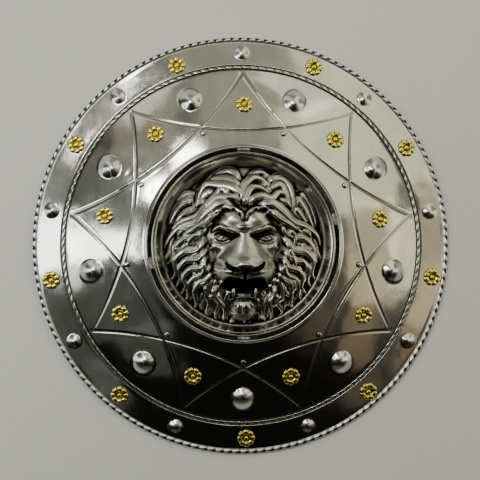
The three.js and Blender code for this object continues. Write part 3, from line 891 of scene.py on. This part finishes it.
# Stops of the face's curves. The first three are (place up the face, size), the others
# (place out from the middle, place up the face).
MUZZLE_WIDTH = [(26, 6), (16, 9), (8, 16), (0, 23), (-10, 30), (-20, 36.5), (-30, 41), (-40, 43),
                (-50, 40), (-60, 33), (-70, 24)]
MUZZLE_RIDGE = [(30, 30), (22, 33), (14, 34.5), (4, 37.5), (-8, 41), (-18, 44), (-25, 46),
                (-30, 46.3), (-36, 44.5), (-42, 41.5), (-50, 36), (-60, 29), (-70, 22)]
MUZZLE_DROP = [(26, 4), (10, 8), (0, 12), (-15, 17), (-30, 20), (-45, 20), (-70, 20)]
BROW = [(6, 14.5), (14, 16), (22, 18), (30, 21.5), (37, 21), (44, 14)]
EYE_SLIT = [(8, 10.5), (14, 9.3), (21, 9.6), (27, 12), (33, 13.8), (41, 11)]
NOSTRIL = [(25, -24.5), (22.5, -29.5), (16, -33.5), (7, -36)]
NOSTRIL_RIM = [(30, -28), (27, -36), (17, -41.5), (6, -45)]
LIP_UPPER = [(0, -49), (6, -47), (13, -45.5), (19, -45.5), (25, -48), (29, -52.5), (32, -59),
             (50, -64)]
LIP_LOWER = [(0, -64.5), (8, -64.5), (13, -65), (18, -62), (23, -59.5), (28, -58), (32, -56.5),
             (50, -58)]
LIP_EDGE = [(0, -69.5), (8, -70.2), (14, -72), (20, -75)]


def path_points(knots, count):
    """Points of a smooth curve through the knots."""
    knots = np.array(knots, float)
    place = np.arange(len(knots))
    at = np.linspace(0, len(knots) - 1, count)
    return np.stack([through(at, list(zip(place, knots[:, k]))) for k in (0, 1)], 1)


def beside_path(x, y, points, reach):
    """(near, share, side): the points that lie within reach of a path, the share of the
    path's length that they stand at, and how far to its left they are."""
    low, high = points.min(0) - reach, points.max(0) + reach
    near = np.flatnonzero((x > low[0]) & (x < high[0]) & (y > low[1]) & (y < high[1]))
    tangents = np.gradient(points, axis=0)
    tangents = tangents / np.hypot(*tangents.T)[:, None]
    lengths = np.concatenate([[0], np.cumsum(np.hypot(*np.diff(points, axis=0).T))])
    dx = x[near, None] - points[None, :, 0]
    dy = y[near, None] - points[None, :, 1]
    nearest = np.argmin(dx * dx + dy * dy, axis=1)
    row = np.arange(len(near))
    dx, dy = dx[row, nearest], dy[row, nearest]
    tx, ty = tangents[nearest].T
    share = (lengths[nearest] + dx * tx + dy * ty) / lengths[-1]
    return near, share, tx * dy - ty * dx


def stroke(x, y, knots, width, taper=0.25, power=1.3):
    """1 along the middle of a path and of its mirror image, 0 at the half width on both
    sides, and tapered at both ends."""
    out = np.zeros_like(x)
    for flip in (1, -1):
        points = path_points([(flip * a, b) for a, b in knots], 40)
        near, share, side = beside_path(x, y, points, width * 2)
        ends = ease(share, -0.02, taper) * ease(1.02 - share, 0, taper)
        narrow = width * (0.35 + 0.65 * ends)
        value = hump(side / narrow, power)
        value *= ease(share, -0.06, 0.06) * ease(1.06 - share, 0, 0.12)
        out[near] = np.maximum(out[near], value)
    return out


def head_form(ax, y):
    """Skull and jaw: two flat-topped mounds joined by a fillet, with swellings for the
    forehead and cheeks and hollows for the eyes."""
    skull = mound_form(np.hypot(ax / 54, (y - 4) / 60), 33, 3, 60)
    skull += 3.0 * bell(ax, y, (19, 36), (16, 13)) - 1.6 * bell(ax, y, (0, 40), (5, 18))
    skull += 5.0 * bell(ax, y, (42, 0), (8, 17), -0.1)
    jaw = mound_form(np.hypot(ax / 41, (y + 52) / 36), 22, 3, 60)
    return soft_max(skull, jaw, 5) - 7.0 * bell(ax, y, (27, 8), (18, 9), 0.15, 2.6)


def muzzle_form(ax, y):
    """Nose bridge that widens into the muzzle: at each height a rounded arch, lower at its
    sides, with a swelling on either side for the roots of the whiskers."""
    across = ax / through(y, MUZZLE_WIDTH)
    form = through(y, MUZZLE_RIDGE) - through(y, MUZZLE_DROP) * across**2.3
    form -= 26 * np.clip(across - 0.98, 0, None) ** 1.2 + 2.5 * np.clip(-72 - y, 0, None)
    form += 6.5 * bell(ax, y, (20, -38), (16, 12)) - 3.5 * bell(ax, y, (33, -27), (8, 5), 0.5)
    return form - 1.2 * np.clip(y - 22, 0, None) ** 1.2


def face_relief(x, y):
    """Height of the lion's face over the floor of the medallion: the muzzle laid over the
    head, then brows, eyes and nose."""
    ax = np.abs(x)
    face = soft_max(head_form(ax, y), muzzle_form(ax, y), 3.6)
    face -= 7 * bell(ax, y, (45, -17), (4, 7), 0.5, 2.6)

    face += 3.4 * stroke(x, y, BROW, 4.6)
    face += 2.4 * bell(ax, y, (24, 19.5), (4.0, 2.8))
    face -= 13.0 * stroke(x, y, EYE_SLIT, 4.3, 0.3, 0.9)
    eyeball = 25.0 - 0.1 * ((ax - 29) ** 2 + 1.6 * (y - 7.5) ** 2)
    in_lid = np.hypot((ax - 29) / 8.5, (y - 6.5) / 5) < 1
    face = np.where(in_lid, soft_max(face, eyeball, 0.8), face)
    lids = np.hypot(ax - 29, (y - 13) * 1.1)
    under = ease(9 - y, 0, 4) * ease(17 - lids, 0, 5) * ease(lids, 5, 8)
    face += 1.3 * np.cos(TURN * (lids - 9.0) / 3.6) * under

    face += 1.6 * bell(x, y, (0, 21.4), (7.5, 1.4))
    face -= 2.6 * bell(x, y, (0, 17.0), (6.0, 2.8), 0, 4)
    face += 4.4 * bell(x, y, (0, -26.5), (13, 8), 0, 2.6)
    face -= 9.0 * stroke(x, y, NOSTRIL, 3.1, 0.35, 0.9)
    face += 0.8 * stroke(x, y, NOSTRIL_RIM, 3.4)
    face -= 6.0 * bell(x, y, (0, -43), (1.8, 7), 0, 2.4)
    return face


def mouth_gape(x, y):
    """1 between the lips and 0 outside them."""
    ax = np.abs(x)
    upper, lower = through(ax, LIP_UPPER), through(ax, LIP_LOWER)
    return ease(np.minimum(upper - y, y - lower), -1.0, 2.0) * (ax < 40)


def painted_shade_places(x, y, height):
    """1 where shade is painted: in the mouth and the nostrils, under the nose and the lips,
    under the chin, and round the eyes and their pupils."""
    ax = np.abs(x)
    lid = np.hypot((ax - 28.5) / 7.2, (y - 6.8) / 4.0)
    return np.maximum.reduce([
        stroke(x, y, EYE_SLIT, 4.0, 0.3, 0.7),
        stroke(x, y, NOSTRIL, 3.4, 0.35, 0.8),
        bell(x, y, (0, -37), (9 + 0.9 * (y + 37), 7.5), 0, 3.4),
        bell(x, y, (0, -44), (2.2, 8), 0, 3),
        0.7 * bell(x, y, (CHIN_PLACE[0], -95), (16, 5.5), 0, 3),
        0.85 * bell(ax, y, (19, -47), (12, 5.5), 0, 3),
        0.9 * ridge(lid, 1, 0.2),
        0.9 * bell(ax, y, (27.5, 8.2), (2.2, 2.2), 0, 3),
        0.9 * bell(ax, y, (28, 11.5), (8.5, 3.0), 0.05, 3),
        mouth_gape(x, y) * ease(24 - height, 0, 6),
    ])


def open_mouth(x, y, face):
    """Cuts the open mouth between its two lips down to the tongue, with two lower fangs, a
    bead of gum behind the lower lip and a rounded edge below it."""
    ax = np.abs(x)
    tongue = 5 + 4 * bell(x, y, (0, -63), (12, 6))
    face = mix(face, np.minimum(face, tongue), mouth_gape(x, y))
    fang = 33 - 0.06 * np.hypot(ax - 14.5, (y + 62.5) * 0.42) ** 4
    gum = ridge(y, through(ax, LIP_LOWER) - 1.2, 0.9) * ease(14 - ax, 0, 3)
    edge = ridge(y, through(ax, LIP_EDGE), 1.5) * ease(22 - ax, 0, 5)
    return np.maximum(face, fang) + 2.5 * gum + 4.5 * edge


# (clock angle, heading of the hair there) in degrees, on the right side
HAIR_FLOW = [(0, 62), (14, 22), (30, -14), (60, -36), (90, -50), (110, -66), (135, -84),
             (160, -94), (180, -96)]
MANE_MOUND = [(0.40, 27), (0.55, 23), (0.7, 17), (0.85, 10.5), (0.95, 5), (1.0, 0.5)]
MANE_HALF_SIZE = 104.5

# Locks are (width, rise, lift, strands): half width, height of the lock over its edges,
# height of its edges over the mane's mound, and number of rounded strands in it.
# Tiers: locks each side, first and last clock angle, half sizes of the oval that they
# start from, length, sway, first part of a sway, the lock
UNDER_TIERS = [
    (21, (5, 172), (80, 82), 25, 0.62, (-0.5, 1.1), (7.0, 5, -2.0, 2)),
    (19, (7, 168), (67, 69), 42, 0.62, (-0.5, 1.1), (7.5, 6, -1.5, 3)),
    (16, (12, 160), (53, 57), 50, 0.62, (-0.5, 1.1), (7.5, 6, -1.0, 3)),
]
OVER_TIERS = [
    (8, (62, 150), (76, 72), 26, 0.95, (-1.0, 2.0), (4.6, 6, 3.0, 2)),
    (7, (58, 142), (60, 54), 30, 0.95, (-1.0, 2.0), (4.8, 6, 3.2, 2)),
]
# Single locks: knots of the path, the lock. The side locks are laid on the right and,
# mirrored, on the left; the last four are the short ones over the forehead.
SIDE_LOCKS = [
    ([(82, 14), (94, 4), (97, -10), (102, -22), (101, -40)], (6, 5, -1, 2)),
    ([(45, 20), (54, 20), (64, 9), (78, 8), (90, -2), (93, -16), (99, -26)], (8, 8, 0.5, 3)),
    ([(46, 8), (55, 4), (64, -8), (80, -10), (91, -22), (90, -38), (98, -52)], (8, 8, 1.5, 4)),
    ([(46, -4), (54, -10), (62, -21), (78, -23), (86, -34), (83, -47), (91, -60)], (7.5, 8, 1, 3)),
    ([(45, -14), (52, -19), (58, -31), (72, -35), (79, -46), (76, -56), (85, -69)], (7, 8, 1.5, 3)),
    ([(43, -23), (48, -30), (54, -41), (67, -46), (72, -58), (73, -70), (80, -76)], (7, 8, 1, 3)),
    ([(42, -32), (45, -38), (50, -48), (61, -54), (64, -66), (63, -78), (68, -88)], (7, 8, 1.5, 3)),
    ([(39, -41), (43, -46), (49, -55), (50, -68), (45, -78), (50, -90), (45, -100)], (6.5, 8, 1, 3)),
    ([(35, -51), (40, -58), (40, -68), (34, -80), (38, -92), (34, -103)], (5.5, 8, 1, 2)),
    ([(29, -60), (33, -66), (30, -76), (25, -88), (28, -103)], (5, 7, 0, 2)),
    ([(22, -66), (26, -74), (21, -86), (21, -101)], (4, 6, -1, 1)),
    ([(1.5, 28), (4, 40), (12, 48)], (3.0, 5, 5, 1)),
    ([(4, 36), (12, 46), (22, 50)], (3.0, 5, 4, 1)),
    ([(14, 44), (24, 48), (34, 46)], (3.2, 5, 4, 1)),
    ([(28, 45), (37, 42), (46, 34)], (3.2, 5, 4, 1)),
]
# crown: right of the parting, then left of it, from the top down to the forehead
CROWN_LOCKS = [
    ([(6, 48), (14, 60), (28, 67), (42, 66), (56, 56)], (9, 4, 1, 4)),
    ([(-24, 54), (-34, 65), (-47, 70), (-58, 60), (-62, 46)], (8, 4, 1, 4)),
    ([(2, 74), (12, 92), (24, 96), (38, 86)], (6, 6, -1, 2)),
    ([(2, 50), (-2, 66), (2, 80), (14, 88), (26, 84), (34, 76)], (6.5, 7, 1, 3)),
    ([(2, 46), (2, 62), (10, 74), (22, 74), (34, 66)], (6, 7.5, 2, 2)),
    ([(30, 74), (38, 86), (50, 89), (60, 80), (65, 62), (63, 42)], (7, 7, 0, 3)),
    ([(32, 66), (42, 78), (52, 76), (59, 62), (62, 48)], (5.5, 7, 2, 2)),
    ([(70, 64), (82, 64), (90, 52), (95, 34), (96, 22)], (5.5, 5, -1, 2)),
    ([(62, 58), (74, 58), (83, 46), (88, 32), (94, 20)], (6, 6, 0, 2)),
    ([(62, 46), (72, 44), (79, 34), (86, 24)], (5, 6, 0.5, 2)),
    ([(4, 44), (10, 58), (22, 63), (36, 60), (46, 68), (56, 64), (62, 46)], (6, 8, 2.5, 2)),
    ([(10, 46), (24, 52), (38, 53), (53, 42), (66, 29), (84, 22), (98, 10), (102, -4)],
     (7, 8, 3, 3)),
    ([(24, 44), (36, 42), (47, 34), (58, 27), (72, 18), (88, 12)], (5.5, 8, 2, 2)),
    ([(-4, 74), (-12, 94), (-24, 98), (-40, 90), (-54, 80)], (6.5, 6, -1, 2)),
    ([(-5, 62), (-10, 78), (-24, 86), (-42, 84), (-64, 70)], (7, 7, 0.5, 3)),
    ([(-4, 52), (-8, 68), (-20, 76), (-36, 78), (-50, 78), (-59, 66), (-63, 48)], (7, 8, 2, 3)),
    ([(-18, 62), (-28, 72), (-38, 66), (-46, 60)], (5, 7.5, 2.5, 2)),
    ([(-60, 64), (-74, 66), (-88, 60), (-98, 48)], (6, 5, -1, 2)),
    ([(-60, 56), (-76, 56), (-90, 44), (-98, 26)], (6.5, 6, 0, 3)),
    ([(-60, 46), (-72, 44), (-84, 36), (-92, 24)], (5.5, 6, 0.5, 2)),
    ([(-3, 46), (-12, 60), (-26, 62), (-38, 60), (-50, 50), (-64, 36), (-84, 29), (-97, 18)],
     (6, 8, 2, 2)),
    ([(-10, 42), (-24, 53), (-36, 52), (-52, 40), (-66, 27), (-84, 22), (-98, 8), (-104, -6)],
     (7, 8, 3, 3)),
    ([(-30, 46), (-42, 38), (-52, 28), (-64, 22), (-78, 12), (-90, -4)], (5.5, 8, 2, 2)),
]
FOREHEAD_LOCK = 3.5  # a lock up to this half width keeps its exact path
CHIN_SIZE = (21.0, 18.5, 33.0)  # half width, half height, rise
CHIN_PLACE = (-1.0, -83.5)
TUFT_LOCK = (3.4, 1.8, 0.1, 1)
TUFT_ROOT = -72
BEARD_ROOT = -91
TUFT_TIPS = [(-15, -83), (-11, -89), (-6, -85), (-2, -93), (3, -87), (7, -92), (12, -84)]
BEARD_TIPS = [(-13, -98), (-6, -102), (1, -105), (7, -100), (14, -98)]
CROWN_SPREAD = 1.22
LOCK_STEPS = 40
SWAY_LENGTH = 66.0


def mound(x, y):
    """Height of the mane's mass without its locks, from the face down to the dish."""
    return through(np.hypot(x, y) / MANE_HALF_SIZE, MANE_MOUND)


def flowing_paths(starts, sides, lengths, sway, phase):
    """Paths of locks that leave their starts together: step by step each takes the heading
    of the hair at its clock angle, and sways about it as a sine of the way along."""
    points = [starts]
    step = lengths / (LOCK_STEPS - 1)
    for i in range(LOCK_STEPS - 1):
        x, y = points[-1].T
        heading = np.radians(through(np.degrees(np.arctan2(np.abs(x), y)), HAIR_FLOW))
        heading = heading + sway * np.sin(TURN * i * step / SWAY_LENGTH + phase)
        ahead = np.stack([sides * np.cos(heading), np.sin(heading)], 1)
        points.append(points[-1] + ahead * step[:, None])
    return np.stack(points, 1)


def lay_lock(x, y, height, points, lock, shift, ground=mound):
    """Lays a lock along a path over what is there. It grows out from under its neighbours,
    swells and tapers to a point; across it is an arch, parted into rounded strands."""
    width, rise, lift, strands = lock
    near, share, side = beside_path(x, y, points, width * 1.4)
    half = width * (0.6 + 0.4 * ease(share, 0, 0.4)) * np.sqrt(np.clip(1.01 - share, 0, 1))
    half = np.maximum(half, 0.05)
    v = side / half
    inside = (np.abs(v) < 1) & (share > -0.04) & (share < 1)
    body = hump(v, 0.65)
    swell = ease(share, -0.06, 0.25) * (0.5 + 0.5 * ease(1 - share, 0, 0.45))
    lane = 0.5 * (strands + 1) * (v + 1 + 0.14 * np.sin(6 * share + 9 * shift) * (1 - v * v))
    valley = hump(2 * (lane % 1) - 1, 1) - 1
    top = ground(x[near], y[near]) + lift + rise * swell * (0.6 + 0.4 * body)
    top += np.clip(0.65 * half / strands, 0, 1.1) * valley - 2.4 * (1 - body) ** 2
    top -= 8 * (1 - ease(share, -0.04, 0.14))
    near, top = near[inside], top[inside]
    height[near] = np.maximum(height[near], top)


def lay_tier(x, y, height, tier, rng):
    """Lays a tier of flowing locks on both sides, each a little unlike the next."""
    count, (first, last), (wide, tall), length, sway, (early, late), lock = tier
    width, rise, lift, strands = lock
    place = np.tile(np.arange(count), 2)
    sides = np.repeat([-1, 1], count)
    jitter = rng.uniform(-1, 1, (2 * count, 6))
    clock = np.radians(first + (last - first) * (place + 0.4 * jitter[:, 0]) / (count - 1))
    starts = np.stack([sides * wide * np.sin(clock), tall * np.cos(clock) - 3], 1)
    phase = np.where(place % 2, late, early) + 0.5 * jitter[:, 1]
    paths = flowing_paths(starts, sides, length * (1 + 0.15 * jitter[:, 2]),
                          sway * (1 + 0.2 * jitter[:, 3]), phase)
    for points, (wider, higher) in zip(paths, jitter[:, 4:]):
        lock = width * (1 + 0.15 * wider), rise, lift + higher, strands
        lay_lock(x, y, height, points, lock, wider)


def mane_relief(x, y):
    """Height of the mane: a mound, under-locks, the long locks, and short ones on top."""
    rng = np.random.default_rng(9)
    height = mound(x, y) - 2.5
    for tier in UNDER_TIERS:
        lay_tier(x, y, height, tier, rng)
    for side in (-1, 1):
        for knots, lock in SIDE_LOCKS:
            path = np.array(knots, float) * (side, 1)
            path[1:] += rng.uniform(-1.5, 1.5, path[1:].shape) * (lock[0] > FOREHEAD_LOCK)
            lay_lock(x, y, height, path_points(path, 48), lock, rng.uniform(0, 1))
    for tier in OVER_TIERS:
        lay_tier(x, y, height, tier, rng)
    for knots, (width, rise, lift, strands) in CROWN_LOCKS:
        lock = CROWN_SPREAD * width, rise, lift, strands + 1
        lay_lock(x, y, height, path_points(knots, 48), lock, rng.uniform(0, 1))
    return height


def chin_form(x, y):
    """Round chin: a mound on an oval."""
    across, down, rise = CHIN_SIZE
    share = np.hypot((x - CHIN_PLACE[0]) / across, (y - CHIN_PLACE[1]) / down)
    return mound_form(share, rise, 2.5, 20)


def beard_form(x, y):
    """Ground of the beard's tips: a slope that falls away below the chin."""
    return 20 + 0.9 * (y + 92) - 0.4 * np.abs(x)


def with_chin(x, y, height):
    """Adds the chin, a tuft that fans out over it from under the lip, and the tips of the
    beard that end below it."""
    height = soft_max(height, chin_form(x, y) - 1, 1.5) - 0.3
    for tips, root, ground in ((TUFT_TIPS, TUFT_ROOT, chin_form),
                               (BEARD_TIPS, BEARD_ROOT, beard_form)):
        for tip_x, tip_y in tips:
            knots = [(0.5 * tip_x, root), (0.8 * tip_x, 0.5 * (root + tip_y)), (tip_x, tip_y)]
            lay_lock(x, y, height, path_points(knots, 30), TUFT_LOCK, 0.3, ground)
    return height


def relief_height(x, y):
    height = open_mouth(x, y, np.maximum(mane_relief(x, y), face_relief(x, y)))
    height = np.maximum(with_chin(x, y, np.maximum(height, 0)), 0)
    return height * ease(RELIEF_RADIUS - np.hypot(x, y), 0, 2.5)


# --- Lion medallion: its meshes ---------------------------------------------------------

RELIEF_CELLS = 288  # cells across the square that becomes the relief's disc
HOLLOW_ROWS = 12

# Section of the medallion's rim. Its face is a curve through (radius, rise over the floor):
# dish, inner bead, channel, outer bead. Its underside is (radius, height).
RIM_FACE = [(106.6, 0.0), (108.5, 0.4), (110.5, 1.7), (112.5, 3.7), (114.5, 6.0), (116.3, 7.9),
            (117.8, 8.7), (119.0, 10.2), (120.4, 11.5), (121.8, 10.6), (122.9, 8.4), (123.2, 6.5)]
RIM_CHANNEL = 118.3
SEAT_Z = BOSS_RIM_Z - 5.4
RIM_UNDER = [(BOSS_RADIUS, SEAT_Z), (121.0, SEAT_Z), (117.4, SEAT_Z), (112, BOSS_FLOOR - 0.2),
             (106.8, BOSS_FLOOR - BOSS_WALL)]


def disc_grid(cells, radius):
    """Square grid of cells bent into a disc: each square ring becomes a circle, and the
    turn along a quarter of the circle is in step with the way along the square's side."""
    line = np.linspace(-1, 1, cells + 1)
    q, p = np.meshgrid(line, line)
    p_wide = np.abs(p) > np.abs(q)
    major = np.where(p_wide, p, q)
    minor = np.where(p_wide, q, p)
    angle = np.pi / 4 * minor / np.where(major == 0, 1, major)
    long, short = radius * major * np.cos(angle), radius * major * np.sin(angle)
    return np.where(p_wide, short, long), np.where(p_wide, long, short)


def border(cells):
    """Numbers of the grid's border corners, in order round it."""
    size = cells + 1
    number = np.arange(size * size).reshape(size, size)
    return np.concatenate([number[0, :-1], number[:-1, -1], number[-1, :0:-1],
                           number[:0:-1, 0]])


def blurred(values, reach):
    """Mean of a grid over a square of cells, three times over, which is close to a bell."""
    for _ in range(3):
        for axis in (0, 1):
            total = sum(np.roll(values, k, axis) for k in range(-reach, reach + 1))
            values = total / (2 * reach + 1)
    return values


def softened(values):
    """Each value mixed with its neighbours, a quarter from either side, both ways."""
    for axis in (0, 1):
        values = 0.5 * values + 0.25 * (np.roll(values, 1, axis) + np.roll(values, -1, axis))
    return values


def lowered(values, reach):
    """Lowest value of a grid within reach cells."""
    for axis in (0, 1):
        values = np.min([np.roll(values, k, axis) for k in range(-reach, reach + 1, 2)], 0)
    return values


def relief_front(x, y, shape):
    """(height, hollow) of the relief on a grid. The second is painted shade: higher where
    the relief lies below the mean of what is round it, near and far, on the floor of the
    dish, and in the mouth, nostrils, eyes and other places of painted shade on the face."""
    height = softened(relief_height(x, y).reshape(shape))
    fine, broad = height - blurred(height, 2), height - blurred(height, 7)
    # Painted shade: darker in recesses and low down near the dish.
    shade_and_wear = 0.40 - 0.5 * np.tanh(0.8 * fine) - 0.05 * broad + 0.25 * ease(4 - height, 0, 4)
    dark = painted_shade_places(x, y, height.ravel())
    return height, np.clip(np.maximum(shade_and_wear.ravel(), dark), 0, 1)


def add_relief():
    """The relief is one closed shell: its front on a disc grid, and its dished back on
    rings that start at the same border and follow the front one wall lower."""
    cells, size = RELIEF_CELLS, RELIEF_CELLS + 1
    x, y = (side.ravel() for side in disc_grid(cells, RELIEF_RADIUS))
    height, shade_and_wear = relief_front(x, y, (size, size))
    front = np.stack([x, y, BOSS_FLOOR + height.ravel()], -1)

    edge = border(cells)
    share = np.linspace(1, 0.04, HOLLOW_ROWS)[:, None]
    row, column = (np.round(share * (side - cells / 2) + cells / 2).astype(int)
                   for side in divmod(edge, size))
    low = blurred(lowered(height, 14), 3)[row, column]
    back_z = BOSS_FLOOR - BOSS_WALL + np.maximum(low - 1.0, 0)
    back = np.stack([share * x[edge], share * y[edge], back_z], -1)
    middle = [[0, 0, back_z[-1].mean()]]

    ring, first = edge.size, len(front)
    here = np.arange(ring)
    ahead = (here + 1) % ring
    wall = np.stack([edge, first + here, first + ahead, edge, first + ahead, edge[ahead]], 1)
    inner = grid_faces(HOLLOW_ROWS, ring, False, True)[:, ::-1] + first
    last = first + (HOLLOW_ROWS - 1) * ring
    cap = np.stack([last + here, np.full(ring, last + ring), last + ahead], 1)
    faces = [grid_faces(size, size, False, False), wall.reshape(-1, 3), inner, cap]
    points = np.concatenate([front, back.reshape(-1, 3), middle])
    shade = np.concatenate([shade_and_wear, np.full(back_z.size + 1, 0.6)])
    add_piece("lion_relief", points, np.concatenate(faces), LION,
              ["lion_boss"], shade)


def add_medallion_rim():
    """The medallion's rim is a closed ring turned from its section."""
    radius = np.linspace(106.8, BOSS_RADIUS, 46)
    face = np.stack([radius, BOSS_FLOOR + through(radius, RIM_FACE)], 1)
    radius, z = np.concatenate([face, RIM_UNDER]).T[:, :, None]
    # Painted shade: darker toward the floor of the dish and in the channel.
    shade_and_wear = np.clip(0.6 - 0.05 * (z - BOSS_FLOOR), 0, 0.6) + 0.6 * ridge(radius, RIM_CHANNEL, 0.7)
    grid = polar(radius, turns(480), z)
    shade = np.broadcast_to(np.clip(shade_and_wear, 0, 1), grid.shape[:2])
    faces = grid_faces(*shade.shape, True, True)
    add_piece("lion_rim", grid.reshape(-1, 3), faces, LION, ["lion_boss"],
              shade)


add_relief()
add_medallion_rim()

# --- Welds ------------------------------------------------------------------------------

WELD_TURNS = {"top": 0, "right": 75, "bottom": 180, "left": -102}
WELD_RADIUS = 125.05
WELD_HALF_TURN = 0.072  # radians


def add_welds():
    """Each weld is a rough lump along the slot: an oval section round its middle line,
    narrowing at both ends, with a seeded roughness summed from 15 sine waves."""
    rng = np.random.default_rng(11)
    run, angle = np.linspace(-1, 1, 40)[:, None], turns(24)
    taper = np.sqrt(np.clip(1.001 - run**6, 0, 1))
    for side, degrees in WELD_TURNS.items():
        rough = sum(0.048 * np.sin(k * 5 * run + m * angle + rng.uniform(0, TURN))
                    for k in range(1, 6) for m in range(1, 4))
        radius = WELD_RADIUS + (3.3 + rough) * taper * np.cos(angle)
        z = BOSS_RIM_Z - 2.4 + (2.1 + 0.6 * rough) * taper * np.sin(angle)
        points, faces = tube(polar(radius, np.radians(degrees) + run * WELD_HALF_TURN, z))
        add_piece(f"weld_{side}", points, faces, WELD, [f"boss_weld_{side}"])


add_welds()

# --- Straps -----------------------------------------------------------------------------

# rivets at both ends, counted from 0: rivet_2 and rivet_3, rivet_8 and rivet_7
STRAPS = {"hand_strap": (1, 2), "arm_strap": (7, 6)}
STRAP_WIDTH = 30.0
STRAP_THICKNESS = 3.0
STRAP_TAIL = 13.0
STRAP_ROUND = 9.0
STRAP_COLUMNS = 28
STRAP_BED = 1.2
STRAP_LOW_Z = 6.0


def strap_grid(start, end):
    """Points of a strap from rivet to rivet: a flat rounded section that lies under the
    plate at both ends and hangs down in a loop between them."""
    span = np.hypot(*(end - start))
    along, across = (end - start) / span, (start + end) / np.hypot(*(start + end))
    run = np.linspace(-STRAP_TAIL, span + STRAP_TAIL, 90)[:, None]
    centre = start + run * along
    plan = np.hypot(centre[:, :1], centre[:, 1:])
    loop = ease(np.minimum(run, span - run), 7, 30)
    tab_z = face_height(plan) - SHEET - STRAP_BED - 0.55 * STRAP_THICKNESS
    z = mix(tab_z, STRAP_LOW_Z, loop)
    slope = np.gradient(z[:, 0], run[:, 0])[:, None]
    to_tip = np.minimum(run + STRAP_TAIL, span + STRAP_TAIL - run) / STRAP_ROUND
    half = STRAP_WIDTH / 2 * np.sqrt(np.clip(1 - (1 - np.clip(to_tip, 0, 1)) ** 2, 0.02, 1))
    c, s = np.cos(turns(STRAP_COLUMNS)), np.sin(turns(STRAP_COLUMNS))
    flat = np.sign(c) * np.abs(c) ** 0.5 * half
    thick = np.sign(s) * np.abs(s) ** 0.35 * (STRAP_THICKNESS - 0.4) / 2
    lean = thick * np.sqrt(np.clip(to_tip, 0.05, 1)) / np.hypot(1, slope)
    x, y = (centre[:, k, None] + flat * across[k] - lean * slope * along[k] for k in (0, 1))
    return np.stack([x, y, z + flat * face_slope(plan) * (1 - loop) + lean], -1)


def add_straps():
    """The straps are most worn, and palest, along their two edges."""
    turn = sector_turns(0.5)
    seats = RIVET_RADIUS * np.stack([np.sin(turn), np.cos(turn)], 1)
    for name, (first, last) in STRAPS.items():
        grid = strap_grid(seats[first], seats[last])
        points, faces = tube(grid)
        edge = np.tile(np.cos(turns(STRAP_COLUMNS)) ** 4, len(grid))
        add_piece(f"leather_{name}", points, faces, LEATHER, [name],
                  np.append(edge, [0.5, 0.5]))


add_straps()
